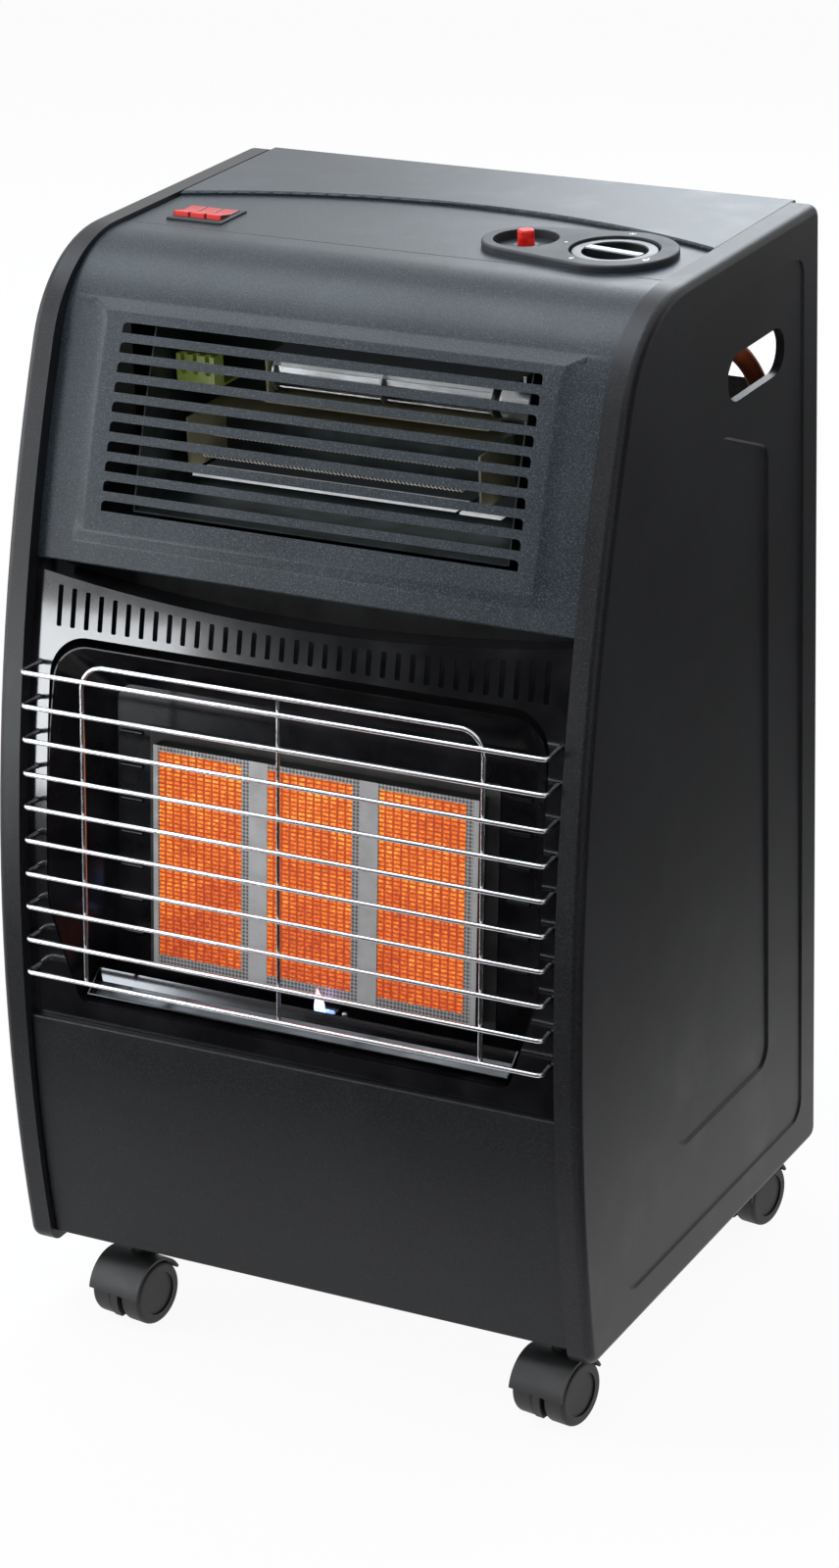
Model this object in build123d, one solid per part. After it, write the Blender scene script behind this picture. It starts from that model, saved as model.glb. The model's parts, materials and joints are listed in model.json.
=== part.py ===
from build123d import *
import os
from math import asin, atan2, cos, pi, radians, sin, sqrt, tan

# A cabinet heater that burns bottled gas behind three ceramic plaques and has an
# electric fan heater under its shoulder. Millimetres. x runs to the right as seen
# from the front, y from the front to the back, z up from the floor.

# Overall
body_width = 424.6
body_height = 676.0
cabinet_depth = 382.0  # guard's lowest rod to the rear edges
guard_proud = 5.4  # how far that rod stands in front of the side panels
ride_height = 52.0
sheet = 0.8  # steel of every panel
base_sheet = 1.0

# Front curve of the side panels: a long arc, then the shoulder up to the flat top
bulge_height = 177.0  # most forward point, above the panels' bottom edge
top_depth = 209.0  # flat part of the top
shoulder_radius = 89.0

# Side panels
rim_width = 17.5  # rim seen from the front
rim_edge_radius = 6.0
rim_corner_radius = 9.0
toe_corner_radius = 12.0
lip_corner_radius = 3.0
lip_width = 16.0  # inner return lip
field_setback = 58.0  # front crease behind the front curve
field_drop = 28.0
field_depth = 1.2
recess_setback = 145.0
recess_rear_gap = 83.0
recess_bottom = 94.0  # above the panel's bottom edge
recess_front_drop = 113.0  # below the panel's top edge
recess_rear_drop = 142.0
recess_depth = 1.5
recess_corner = 14.0
grip_length = 89.0
grip_height = 31.0
grip_rear_gap = 100.5  # rear edge to the grip hole's centre
grip_drop = 81.5  # top to the grip hole's centre
grip_collar = 6.0

# Front panels, set back from the side panels' curve
fascia_recess = 9.7
fascia_shoulder = 74.0
fascia_height = 193.5  # below the top
plate_recess = 10.0
plate_height = 306.0  # lower front panel's top edge to the fascia's bottom edge
lower_recess = 5.0
panel_toe = 8.0  # lower front panel's bottom edge above the side panels'
panel_fold = 1.6  # outside radius of the folded edges
plate_tuck = 12.0  # surround plate behind the lower front panel
flange = 12.0
seam_gap = 0.4
touch_gap = 0.3

# Louvre block
louvre_count = 10
louvre_pitch = 12.65
louvre_open = 6.8
louvre_half = 149.0
louvre_corner = 3.0
louvre_drop = 48.2  # top of the body to the first slot
emboss_rise = 2.4
emboss_side = 12.0  # flat margin beyond the slots' ends
emboss_top = 6.5
emboss_bottom = 13.5
emboss_slope = 9.0
emboss_sink = 1.0
emboss_blend = 9.0

# Surround plate
slot_count = 35
slot_pitch = 10.3
slot_width = 3.6
slot_floor = 265.0  # above the lower panel's top edge
slot_margin = 6.0  # slot top below the plate's edge
slot_end_radius = 1.0
plate_edge_end = 300.0
plate_edge_middle = 286.0
plate_return = 18.0
window_half = 180.0
window_top = 260.0
window_bottom = 14.0
window_corner = 27.0
toe_rise = 80.0  # where the window's sides start to draw in
toe_half = 158.0
toe_blend = 60.0
toe_radius = 8.0

# Guard
rod_radius = 1.6
wire_radius = 1.3  # upright in the middle
wire_tail = 0.8  # uprights past the lowest rod
weld_sink = 0.3  # uprights welded into the rods
rod_count = 10
rod_pitch = 22.8
rod_half = 189.0
rod_end_half = 187.0
rod_bend = 4.0
rod_reach = 4.0  # rod ends behind the surround plate
rod_first = 35.5  # lowest rod above the lower panel's top edge
rod_hole_play = 0.4
guard_lean = 4.6
frame_half = 144.5
frame_corner = 16.0
frame_top_gap = 10.0  # frame's top above the highest rod

# Burner, in its own leaning plane
burner_width = 238.0
burner_height = 150.0
burner_depth = 34.0
burner_centre = 111.0  # above the lower panel's top edge
burner_setback = 34.0  # behind the surround plate
burner_lean = 5.5
burner_sheet = 0.8
plaque_count = 3
plaque_width = 72.2
plaque_height = 146.0
plaque_bar = 9.1
plaque_thickness = 11.0
plaque_play = 0.4
plaque_ledge = 5.0
glow_width = 62.2  # opening in front of a plaque
glow_height = 140.0
glow_shift = -2.5
glow_rise = 1.2
venturi_radius = 10.0
burner_flange = 9.0
cavity_half = 152.0
cavity_rise = 33.0  # reflector back above the burner
cavity_drop = 18.0
cavity_setback = 12.0  # behind the burner's face
mouth_reach = 8.0  # reflector's mouth in front of the window's chord
mouth_grow = 1.0
rib_count = 7
rib_pitch = 23.0
rib_length = 16.0

# Pilot and the polished tray below it
deflector_half = 155.0
pilot_x = 16.0
pilot_y = -148.2
pilot_radius = 3.5
pilot_gap = 11.0  # to the electrode and the probe beside it

# Casters
wheel_radius = 22.0
wheel_width = 17.5
wheel_edge = 3.0
caster_left = -141.0
caster_right = 178.0
caster_front_gap = 44.0
caster_rear_gap = 31.0
caster_trail = 12.0
caster_turn = 188.0  # how far they stand swivelled
web_thickness = 6.0
web_play = 0.6
hood_gap = 1.2
hood_wall = 1.8
hood_rear_angle = 10.0  # hood's ends above the axle's level
hood_front_angle = 27.0
stem_radius = 4.0
stem_play = 0.05
axle_radius = 3.0
axle_play = 0.05
socket_radius = 7.0
socket_flange = 11.0
socket_length = 18.0
seat_gap = 0.3

# Top: control panel in front of the lid
control_drop = 3.0
seam_back = 13.0  # control panel's front edge behind the end of the fascia's curve
lid_end = 69.0  # lid's front edge behind that seam, at the sides
lid_middle = 110.0
lid_overlap = 12.0
lid_skirt = 26.0
knob_x = 139.0
dial_setback = 40.4  # knob and igniter behind the front seam
dial_plate = 5.0  # plate around the knob, above the control panel
lobe_radius = 41.0
knob_radius = 27.8
knob_proud = -1.5
knob_height = 9.0
knob_dish = 20.8
knob_web = 2.2
knob_hub = 9.0
hub_drop = 6.0
knob_travel = 4.0
knob_play = 1.2
knob_turn = -9.0
grip_bar_length = 41.0
grip_bar_width = 7.0
inlay_thickness = 0.6
well_wall = 1.4
igniter_gap = 35.2  # knob's edge to the igniter's middle
igniter_lobe = 28.5
igniter_well = 21.0
igniter_floor = 6.0  # well's floor below the plate's top
button_radius = 5.5
button_top = 10.5  # above the control panel
button_length = 30.0
button_travel = 6.0
button_play = 0.08
igniter_radius = 9.0
igniter_length = 44.0
switch_x = -151.0
switch_setback = 29.6
switch_length = 41.0
switch_depth = 34.0
switch_rim = 2.2
switch_rise = 2.0
switch_body = 20.0
rocker_count = 3
rocker_width = 11.6
rocker_length = 24.0
rocker_neck = 9.6
rocker_swing = 12.0
rocker_axle = 1.0
rocker_play = 0.06
pivot_drop = 2.0

# Gas train
valve_length = 38.0
valve_width = 34.0
valve_height = 34.0
valve_drop = 56.0  # control panel to the valve body's middle
valve_boss = 9.0
boss_height = 8.0
spindle_radius = 4.0
spindle_play = 0.05
collar_radius = 7.5
bracket_sheet = 1.2
hose_radius = 6.5
ferrule_radius = 8.5
ferrule_length = 20.0
pipe_radius = 3.0
pipe_bend = 12.0
pipe_drop_y = 2.0  # both pipes come down behind the heat shield
pilot_pipe_radius = 2.0
pilot_pipe_bend = 8.0
manifold_radius = 6.0
manifold_half = 100.0
manifold_drop = 26.0
injector_radius = 3.0
regulator_radius = 29.0
regulator_width = 22.0
lever_length = 40.0

# Fan heater behind the louvres
fan_half = 135.0
fan_top_drop = 46.0
fan_height = 116.0
fan_recess = 24.0  # its mouth behind the fascia's curve
fan_wall = 1.0
impeller_radius = 12.0
impeller_left = -68.0
impeller_right = 90.0
duct_drop = 193.5  # top to the line that the parts inside the duct are set out from
impeller_rise = 110.0  # above that line
impeller_y = -32.0
blade_count = 12
fan_shaft = 2.0
shaft_play = 0.05
element_y = -50.0
comb_left = -124.0
comb_right = 88.0
coil_radius = 3.0
lead_radius = 0.8

# Rear
shield_gap = 8.0  # behind the burner box
shield_top_y = -8.0  # its upper half, behind the fan heater
rail_height = 18.0
rail_depth = 9.0
rail_drop = 130.0  # top to the rail's middle
pan_wall = 16.0  # base pan's rim above the side panels' bottom edge
cover_side_gap = 0.7
cover_height = 503.0
cover_depth = 8.0
cover_inset = 1.0
vent_count = 6
vent_length = 150.0
vent_width = 6.0
vent_pitch = 16.0
gland_x = -150.0
gland_radius = 6.8

# Levels and planes worked out from the sizes above
rear_y = cabinet_depth / 2
front_y = -rear_y + guard_proud
bottom_z = ride_height
top_z = ride_height + body_height
bulge_z = bottom_z + bulge_height
seam_half = body_width / 2 - rim_width
inner_half = seam_half - seam_gap / 2
shoulder_y = rear_y - top_depth
shoulder_z = top_z - shoulder_radius
reach = front_y - shoulder_y
rise = shoulder_z - bulge_z
front_radius = (shoulder_radius**2 - reach**2 - rise**2) / (2 * (reach + shoulder_radius))
front_centre_y = front_y + front_radius
control_z = top_z - control_drop
fascia_bottom = top_z - fascia_height
igniter_x = knob_x - knob_radius - igniter_gap
duct_line = top_z - duct_drop
impeller_z = duct_line + impeller_rise
lower_top = fascia_bottom - plate_height
flange_low = -cavity_setback
flange_high = flange_low + burner_sheet
guard_low_z = lower_top + rod_first
window_z = lower_top + (window_top + window_bottom) / 2
floor_z = bottom_z + 2.0  # base pan's floor


def front_at(z, recess=0.0):
    """y of the long front arc at a height, set back by recess."""
    return front_centre_y - sqrt((front_radius - recess) ** 2 - (z - bulge_z) ** 2)


def shoulder_at(recess, top, shoulder):
    """Centre of the shoulder arc and the point where it meets the long arc."""
    cz = top - shoulder
    span = front_radius - recess - shoulder
    cy = front_centre_y - sqrt(span**2 - (cz - bulge_z) ** 2)
    turn = atan2(cz - bulge_z, front_centre_y - cy)
    return cy, cz, (cy - shoulder * cos(turn), cz + shoulder * sin(turn)), turn


seam_y = shoulder_at(fascia_recess, control_z, fascia_shoulder)[0] + seam_back
dial_y = seam_y + dial_setback
switch_y = seam_y + switch_setback


def front_lines(recess, top, shoulder, low):
    """Long arc and shoulder arc as two edges in (y, z), from low up to the flat top."""
    cy, cz, meet, turn = shoulder_at(recess, top, shoulder)
    mid_z = (low + meet[1]) / 2
    half_turn = (turn + radians(90)) / 2
    bend = (cy - shoulder * cos(half_turn), cz + shoulder * sin(half_turn))
    long_arc = ThreePointArc((front_at(low, recess), low), (front_at(mid_z, recess), mid_z), meet)
    return long_arc, ThreePointArc(meet, bend, (cy, top))


def corner(face, at, radius):
    """Round the corner of a face nearest to a point."""
    return fillet(face.vertices().sort_by_distance(Vector(*at))[0], radius)


def along_x(face, x0, x1):
    """Prism of a face drawn in (y, z)."""
    return Pos(x0, 0, 0) * extrude(Plane.YZ * face, x1 - x0)


def along_y(face, y0, y1):
    """Prism of a face drawn in (x, z)."""
    return extrude(Plane.XZ.offset(-y1) * face, y1 - y0)


def along_z(face, z0, z1):
    """Prism of a face drawn in (x, y)."""
    return Pos(0, 0, z0) * extrude(face, z1 - z0)


def block(x0, x1, y0, y1, z0, z1):
    return Pos((x0 + x1) / 2, (y0 + y1) / 2, (z0 + z1) / 2) * Box(x1 - x0, y1 - y0, z1 - z0)


def rod(start, end, radius):
    """Straight round bar between two points."""
    line = Line(start, end)
    return extrude(Plane(line @ 0, z_dir=line % 0) * Circle(radius), line.length)


def bent(points, radii, radius):
    """Round bar along straight runs joined by tangent arcs."""
    path = FilletPolyline(*points, radius=radii)
    return sweep(Plane(path @ 0, z_dir=path % 0) * Circle(radius), path=path)


def band(outer, inner, low, high):
    """Face between two set-backs of the long front arc, in (y, z)."""
    mid = (low + high) / 2
    front = ThreePointArc(*[(front_at(z, outer), z) for z in (low, mid, high)])
    back = ThreePointArc(*[(front_at(z, inner), z) for z in (high, mid, low)])
    return make_face(front + Line(front @ 1, back @ 0) + back + Line(back @ 1, front @ 0))


def folded(points, thickness):
    """Section of a folded sheet: an open polyline thickened to its left."""
    steps = [Vector(*b) - Vector(*a) for a, b in zip(points, points[1:])]
    sides = [Vector(-s.Y, s.X).normalized() for s in steps]
    back = [Vector(*points[0]) + sides[0] * thickness]
    for point, one, two in zip(points[1:-1], sides, sides[1:]):
        mitre = (one + two).normalized()
        back.append(Vector(*point) + mitre * (thickness / mitre.dot(one)))
    back.append(Vector(*points[-1]) + sides[-1] * thickness)
    return make_face(Polyline(*points, *[(p.X, p.Y) for p in reversed(back)], close=True))


def both_sides(piece):
    return [piece, mirror(piece, about=Plane.YZ)]


# Side panels


def side_outline(inset):
    top, low, rear = top_z - inset, bottom_z + inset, rear_y - inset
    long_arc, shoulder = front_lines(inset, top, shoulder_radius - inset, low)
    toe, crest = long_arc @ 0, shoulder @ 1
    rest = Polyline(crest, (rear, top), (rear, low), toe)
    face = make_face(long_arc + shoulder + rest)
    back_corner = max(rim_corner_radius - inset, lip_corner_radius)
    face = corner(face, (rear, top), back_corner)
    face = corner(face, (rear, low), back_corner)
    return corner(face, (toe.X, toe.Y), max(toe_corner_radius - inset, lip_corner_radius))


def field_outline(spread):
    """Pressed field behind the front crease; spread widens it for the inner skin."""
    setback, top = field_setback - spread, top_z - field_drop + spread
    low, rear = bottom_z + field_drop - spread, rear_y - field_drop + spread
    bend = shoulder_radius - field_setback + spread + field_drop / 2
    long_arc, shoulder = front_lines(setback, top, bend, low)
    face = make_face(long_arc + shoulder + Polyline(shoulder @ 1, (rear, top), (rear, low), long_arc @ 0))
    for point in ((rear, top), (rear, low), ((long_arc @ 0).X, low)):
        face = corner(face, point, recess_corner + spread)
    return face


def recess_outline(spread):
    """Deeper recess in the middle of the field."""
    setback, low = recess_setback - spread, bottom_z + recess_bottom - spread
    rear = rear_y - recess_rear_gap + spread
    high = top_z - recess_front_drop + spread
    rear_high = top_z - recess_rear_drop + spread
    mid = (low + high) / 2
    front = ThreePointArc(*[(front_at(z, setback), z) for z in (low, mid, high)])
    face = make_face(front + Polyline(front @ 1, (rear, rear_high), (rear, low), front @ 0))
    for point in ((front @ 0), (front @ 1), (rear, rear_high), (rear, low)):
        face = corner(face, tuple(point)[:2], recess_corner + spread)
    return face


def side_form(inset):
    """Solid of the panel's outside, or of its inside when inset by the sheet."""
    outer = body_width / 2 - inset
    form = along_x(side_outline(inset), seam_half + inset, outer)
    form = fillet(form.faces().sort_by(Axis.X)[-1].edges(), rim_edge_radius - inset)
    floor = outer - field_depth
    form -= extrude(Plane.YZ.offset(floor) * field_outline(inset), field_depth + 1, taper=-45)
    deep = floor - recess_depth
    form -= extrude(Plane.YZ.offset(deep) * recess_outline(inset), recess_depth + 1, taper=-45)
    return form


def grip_slot(extra):
    centre = (rear_y - grip_rear_gap, top_z - grip_drop)
    return Pos(*centre) * SlotOverall(grip_length + 2 * extra, grip_height + 2 * extra)


def side_panel():
    """Right-hand side panel: a pressed tray with a return lip and a grip hole."""
    panel = side_form(0) - side_form(sheet)
    panel -= along_x(side_outline(lip_width), seam_half - 1, seam_half + sheet + 1)
    skin = body_width / 2 - field_depth
    collar = along_x(grip_slot(sheet), skin - grip_collar, skin)
    panel += collar
    return panel - along_x(grip_slot(0), seam_half, body_width / 2 + 1)


# Front panels


def tray(recess, low, high, depth):
    """Curved front panel with its edges folded back all round."""
    outer = along_x(band(recess, recess + depth, low, high), -inner_half, inner_half)
    outer = fillet(outer.faces().sort_by(Axis.Y)[0].edges(), panel_fold)
    hollow = band(recess + sheet, recess + depth + 9, low + sheet, high - sheet)
    inner = along_x(hollow, sheet - inner_half, inner_half - sheet)
    front = inner.faces().sort_by(Axis.Y)[0]
    return outer - fillet(front.edges(), panel_fold - sheet)


def fascia_section(inset, low, back):
    """Fascia's line set back by inset and closed along its rear seam, in (y, z)."""
    top = control_z - inset
    long_arc, shoulder = front_lines(fascia_recess + inset, top, fascia_shoulder - inset, low)
    return make_face(long_arc + shoulder + Polyline(shoulder @ 1, (back, top), (back, low), long_arc @ 0))


def climb_to(climb, lift=0.0):
    """Point climb up the fascia's curve from the first louvre and lift off it, and its lean."""
    cy, cz, _, limit = shoulder_at(fascia_recess, control_z, fascia_shoulder)
    radius = front_radius - fascia_recess
    turn = asin((top_z - louvre_drop - bulge_z) / radius) + climb / radius
    if turn > limit:
        turn = limit + (turn - limit) * radius / fascia_shoulder
        return cy - (fascia_shoulder + lift) * cos(turn), cz + (fascia_shoulder + lift) * sin(turn), turn
    return front_centre_y - (radius + lift) * cos(turn), bulge_z + (radius + lift) * sin(turn), turn


def emboss(inset):
    """Raised field around the louvres with sloped sides, top and bottom."""
    base = front_radius - fascia_recess - inset
    half = louvre_half + emboss_side - inset / 4
    spread = emboss_slope * (emboss_rise + emboss_sink) / emboss_rise
    wide = half + spread
    high = base + emboss_rise
    low, deep = base - emboss_sink, base - 4.0
    section = [(half, high), (wide, low), (wide, deep), (-wide, deep), (-wide, low), (-half, high)]
    sketch = Plane(origin=(0, front_centre_y, bulge_z), x_dir=(1, 0, 0), z_dir=(0, 0, -1))
    ring = revolve(
        sketch * make_face(Polyline(*section, close=True)),
        Axis((0, front_centre_y, bulge_z), (-1, 0, 0)),
        40,
    )
    top_edge = louvre_open / 2 + emboss_top - inset / 4
    low_edge = (1 - louvre_count) * louvre_pitch - louvre_open / 2 - emboss_bottom + inset / 4
    ends = []
    for edge, way in ((top_edge, 1), (low_edge, -1)):
        foot = Vector(*climb_to(edge + way * spread, -inset - emboss_sink)[:2])
        crest = Vector(*climb_to(edge, emboss_rise - inset)[:2])
        deep_point = Vector(*climb_to(edge + way * spread, -inset - 4)[:2])
        ends.append([deep_point, foot, foot + (crest - foot) * 4])
    outline = ends[0] + ends[1][::-1]
    wedge = along_x(make_face(Polyline(*[(q.X, q.Y) for q in outline], close=True)), -wide - 1, wide + 1)
    skin = along_x(fascia_section(inset - emboss_rise, fascia_bottom - 5, seam_y), -wide - 1, wide + 1)
    return ring & wedge & skin


def louvres():
    """Cutters for the slots, square to the fascia, with rounded upper corners."""
    face = Rectangle(2 * louvre_half, louvre_open)
    face = fillet(face.vertices().group_by(Axis.Y)[-1], louvre_corner)
    cutters = []
    for step in range(louvre_count):
        y, z, turn = climb_to(-step * louvre_pitch)
        seat = Plane(origin=(0, y, z), x_dir=(1, 0, 0), z_dir=(0, -cos(turn), sin(turn)))
        cutters.append(extrude(seat * face, 7, both=True))
    return cutters


def lifted(solid, height):
    """Edges of the embossed field's flat top."""
    base = front_radius - fascia_recess
    found = []
    for edge in solid.edges():
        spot = edge.center()
        off = sqrt((spot.Y - front_centre_y) ** 2 + (spot.Z - bulge_z) ** 2) - base
        if abs(off - height) < emboss_rise / 5 and abs(spot.X) < louvre_half + emboss_side + 0.5:
            found.append(edge)
    return found


def front_fascia():
    outer = along_x(fascia_section(0, fascia_bottom, seam_y), -inner_half, inner_half)
    foot = outer.edges().filter_by(Axis.X).group_by(Axis.Z)[0].sort_by(Axis.Y)[0]
    outer = fillet(foot, panel_fold) + emboss(0)
    outer = fillet(lifted(outer, emboss_rise), emboss_blend)
    inner = fascia_section(sheet, fascia_bottom + sheet, seam_y + 5)
    inner = along_x(inner, sheet - inner_half, inner_half - sheet) + emboss(sheet)
    inner = fillet(lifted(inner, emboss_rise - sheet), emboss_blend - sheet)
    inner &= block(-inner_half, inner_half, -rear_y, seam_y - sheet, fascia_bottom, control_z)
    panel = outer - inner
    panel -= along_x(fascia_section(flange, fascia_bottom - 1, seam_y + 1), -inner_half - 1, inner_half + 1)
    return panel - louvres()


def plate_edge(x):
    """Height of the surround plate's curved top edge."""
    sag = plate_edge_end - plate_edge_middle
    radius = (inner_half**2 + sag**2) / (2 * sag)
    return lower_top + plate_edge_middle + radius - sqrt(radius**2 - x**2)


def above_edge(drop, height):
    """Face above the plate's top edge, lowered by drop, in (x, z)."""
    wide = inner_half + 0.5
    ends = [(x, plate_edge(x) - drop) for x in (-wide, 0, wide)]
    arc = ThreePointArc(*ends)
    return make_face(arc + Polyline(ends[2], (wide, height), (-wide, height), ends[0]))


def window_face(grow, foot=toe_radius):
    """Window outline about its own middle, in (x, height)."""
    half_height = (window_top - window_bottom) / 2
    low, high = -half_height - grow, half_height + grow
    toe = low + toe_rise - window_bottom
    right = [(window_half + grow, high), (window_half + grow, toe), (toe_half + grow, low)]
    left = [(-x, z) for x, z in reversed(right)]
    face = make_face(Polyline(*right, *left, close=True))
    for x, z in right + left:
        radius = window_corner if z == high else toe_blend if z == toe else foot
        face = corner(face, (x, z), radius)
    return face




def guard_at(z):
    """Plane of the guard's rods at a height."""
    return -rear_y + rod_radius + (z - guard_low_z) * tan(radians(guard_lean))


def surround_plate():
    low, high = lower_top - plate_tuck, lower_top + plate_edge_end + 4
    outer = along_x(band(plate_recess, plate_recess + flange, low, high), -inner_half, inner_half)
    outer = fillet(outer.faces().sort_by(Axis.Y)[0].edges().filter_by(Axis.X, reverse=True), panel_fold)
    hollow = band(plate_recess + sheet, plate_recess + flange + 9, low - 1, high + 1)
    inner = along_x(hollow, sheet - inner_half, inner_half - sheet)
    front = inner.faces().sort_by(Axis.Y)[0].edges().filter_by(Axis.X, reverse=True)
    plate = outer - fillet(front, panel_fold - sheet)
    plate -= along_y(above_edge(0, high + 20), -rear_y, 0)
    lip = along_x(band(plate_recess, plate_recess + plate_return, low, high), -inner_half, inner_half)
    lip &= along_y(above_edge(sheet, high + 20) - above_edge(0, high + 21), -rear_y, 0)
    plate += lip
    slots = []
    for step in range(slot_count):
        x = (step - (slot_count - 1) / 2) * slot_pitch
        foot, head = lower_top + slot_floor, plate_edge(x) - slot_margin
        outline = Pos(x, (foot + head) / 2) * RectangleRounded(slot_width, head - foot, slot_end_radius)
        slots.append(along_y(outline, -rear_y, 0))
    plate -= slots
    plate -= along_y(Pos(0, window_z) * window_face(0), -rear_y, 0)
    holes = []
    for step in range(rod_count):
        z = guard_low_z + step * rod_pitch
        for side in (-1, 1):
            reach = front_at(z, plate_recess) + rod_reach - guard_at(z)
            x = rod_end_half + (rod_half - rod_end_half) * (rod_reach - sheet / 2) / reach
            spot = Pos(side * x, z) * Circle(rod_radius + rod_hole_play)
            holes.append(along_y(spot, -rear_y, -rear_y + 60))
    return plate - holes


def lower_front_panel():
    panel = tray(lower_recess, bottom_z + panel_toe, lower_top, flange)
    tuck = band(plate_recess - touch_gap, plate_recess + 30, lower_top - plate_tuck - 1, lower_top + 1)
    return panel - along_x(tuck, -inner_half - 1, inner_half + 1)


def guard_grille():
    rods = []
    for step in range(rod_count):
        z = guard_low_z + step * rod_pitch
        front, back = guard_at(z), front_at(z, plate_recess) + rod_reach
        corners = [(-rod_end_half, back), (-rod_half, front), (rod_half, front), (rod_end_half, back)]
        rods.append(bent([(x, y, z) for x, y in corners], rod_bend, rod_radius))
    top = guard_low_z + (rod_count - 1) * rod_pitch + frame_top_gap
    low = guard_low_z - rod_radius - wire_tail
    behind = 2 * rod_radius - weld_sink
    corners = [(-frame_half, low), (-frame_half, top), (frame_half, top), (frame_half, low)]
    rods.append(bent([(x, guard_at(z) + behind, z) for x, z in corners], frame_corner, rod_radius))
    behind = rod_radius + wire_radius - weld_sink
    rods.append(rod((0, guard_at(low) + behind, low), (0, guard_at(top) + behind, top), wire_radius))
    return rods[0].fuse(*rods[1:])


# Burner, drawn in its own plane: x, height along the lean, and out towards the front


burner_z = lower_top + burner_centre
burner_y = front_at(burner_z, plate_recess) + burner_setback
lean = radians(burner_lean)
burner_plane = Plane(origin=(0, burner_y, burner_z), x_dir=(1, 0, 0), z_dir=(0, -cos(lean), sin(lean)))
half_h = burner_height / 2
plaque_pitch = plaque_width + plaque_bar


def slab(width, height, low, high, x=0.0, v=0.0):
    """Box standing out from the burner plane between two levels."""
    return Pos(x, v, (low + high) / 2) * Box(width, height, high - low)


def burner_box():
    deep = -burner_depth
    box = slab(burner_width, burner_height, deep, -burner_sheet)
    wall = 2 * burner_sheet
    box -= slab(burner_width - wall, burner_height - wall, deep + burner_sheet, 0)
    seat = -burner_sheet - plaque_thickness
    ledge = slab(burner_width, burner_height, seat - burner_sheet, seat)
    for step in range(plaque_count):
        x = (step - (plaque_count - 1) / 2) * plaque_pitch
        ledge -= slab(plaque_width - 2 * plaque_ledge, plaque_height - 2 * plaque_ledge, -40, 0, x)
        box -= Pos(x, -half_h, -burner_depth * 0.6) * Rot(90, 0, 0) * Cylinder(venturi_radius, 9)
    box += ledge
    rim = slab(burner_width + 2 * burner_flange, burner_height + 2 * burner_flange, flange_low, flange_high)
    box += rim - slab(burner_width - wall, burner_height - wall, -40, 0)
    return burner_plane * box


def burner_frame():
    face = slab(burner_width, burner_height, -burner_sheet, 0)
    for step in range(plaque_count):
        x = (step - (plaque_count - 1) / 2) * plaque_pitch
        face -= slab(glow_width, glow_height, -40, 5, x + glow_shift, glow_rise)
        if step:
            width = plaque_bar - 2 * plaque_play
            bar = slab(width, plaque_height, -plaque_thickness, 0, x - plaque_pitch / 2)
            hollow = slab(width - 2 * burner_sheet, plaque_height + 1, -40, -burner_sheet)
            face += bar - Pos(x - plaque_pitch / 2, 0, 0) * hollow
    return burner_plane * face


def plaque(step):
    x = (step - (plaque_count - 1) / 2) * plaque_pitch
    low = -burner_sheet - plaque_thickness
    tile = slab(plaque_width - 2 * plaque_play, plaque_height, low, -burner_sheet, x)
    return burner_plane * chamfer(tile.edges().filter_by(Axis.Z), 1.0)


def reflector_outline(grow):
    """Back of the reflector in the burner's plane."""
    high, low = half_h + cavity_rise + grow, -half_h - cavity_drop - grow
    half = cavity_half + grow
    right = [(half, high), (half, low + 45), (half + 5, low)]
    left = [(-x, v) for x, v in reversed(right)]
    face = make_face(Polyline(*right, *left, close=True))
    for x, v in right + left:
        face = corner(face, (x, v), toe_blend if v == low + 45 else 2.0 if v == low else 12.0)
    return face


def reflector_form(grow, back):
    """Funnel from the window in the surround plate to the plate behind the burner."""
    z0, z1 = lower_top + window_bottom, lower_top + window_top
    y0, y1 = front_at(z0, plate_recess), front_at(z1, plate_recess)
    tilt = atan2(y1 - y0, z1 - z0)
    out = Vector(0, -cos(tilt), sin(tilt))
    middle = Vector(0, (y0 + y1) / 2, (z0 + z1) / 2)
    mouth = Plane(origin=middle + out * mouth_reach, x_dir=(1, 0, 0), z_dir=out)
    rear = burner_plane.offset(back)
    return loft([mouth * window_face(grow, 2.0), rear * reflector_outline(grow)], ruled=True)


def reflector_box():
    outer = reflector_form(mouth_grow + sheet, flange_low - sheet)
    inner = reflector_form(mouth_grow, flange_low)
    box = outer - inner
    box -= along_x(band(-60, plate_recess + sheet + touch_gap, lower_top - 60, lower_top + 340), -260, 260)
    hole = slab(burner_width + 2 * touch_gap, burner_height + 2 * touch_gap, -60, 60)
    box -= burner_plane * hole
    ribs = []
    for step in range(rib_count):
        v = (step - (rib_count - 1) / 2) * rib_pitch + 8
        bar = Pos(cavity_half - 2 - rib_length / 2, v, flange_low) * Rot(0, 90, 0) * Cylinder(1.6, rib_length)
        ribs += both_sides(burner_plane * bar)
    box = box.fuse(*ribs)
    seats = ((0, pilot_radius), (-pilot_gap, 2.5), (pilot_gap, 2.0))
    floor = window_z - window_top / 2
    return box - [Pos(pilot_x + x, pilot_y, floor) * Cylinder(r + 0.5, 40) for x, r in seats]


def bottom_deflector():
    back, low = pilot_y - 6.5, lower_top + window_bottom + 2.4
    front = front_at(low, plate_recess) + 5
    line = [(back, low + 14), (back - 3, low + 6), (front + 4.5, low), (front, low + 2.2)]
    tray_form = along_x(folded(line, sheet), -deflector_half, deflector_half)
    cap = along_x(make_face(Polyline(*line, close=True)), deflector_half - sheet, deflector_half)
    return tray_form.fuse(*both_sides(cap))


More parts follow.
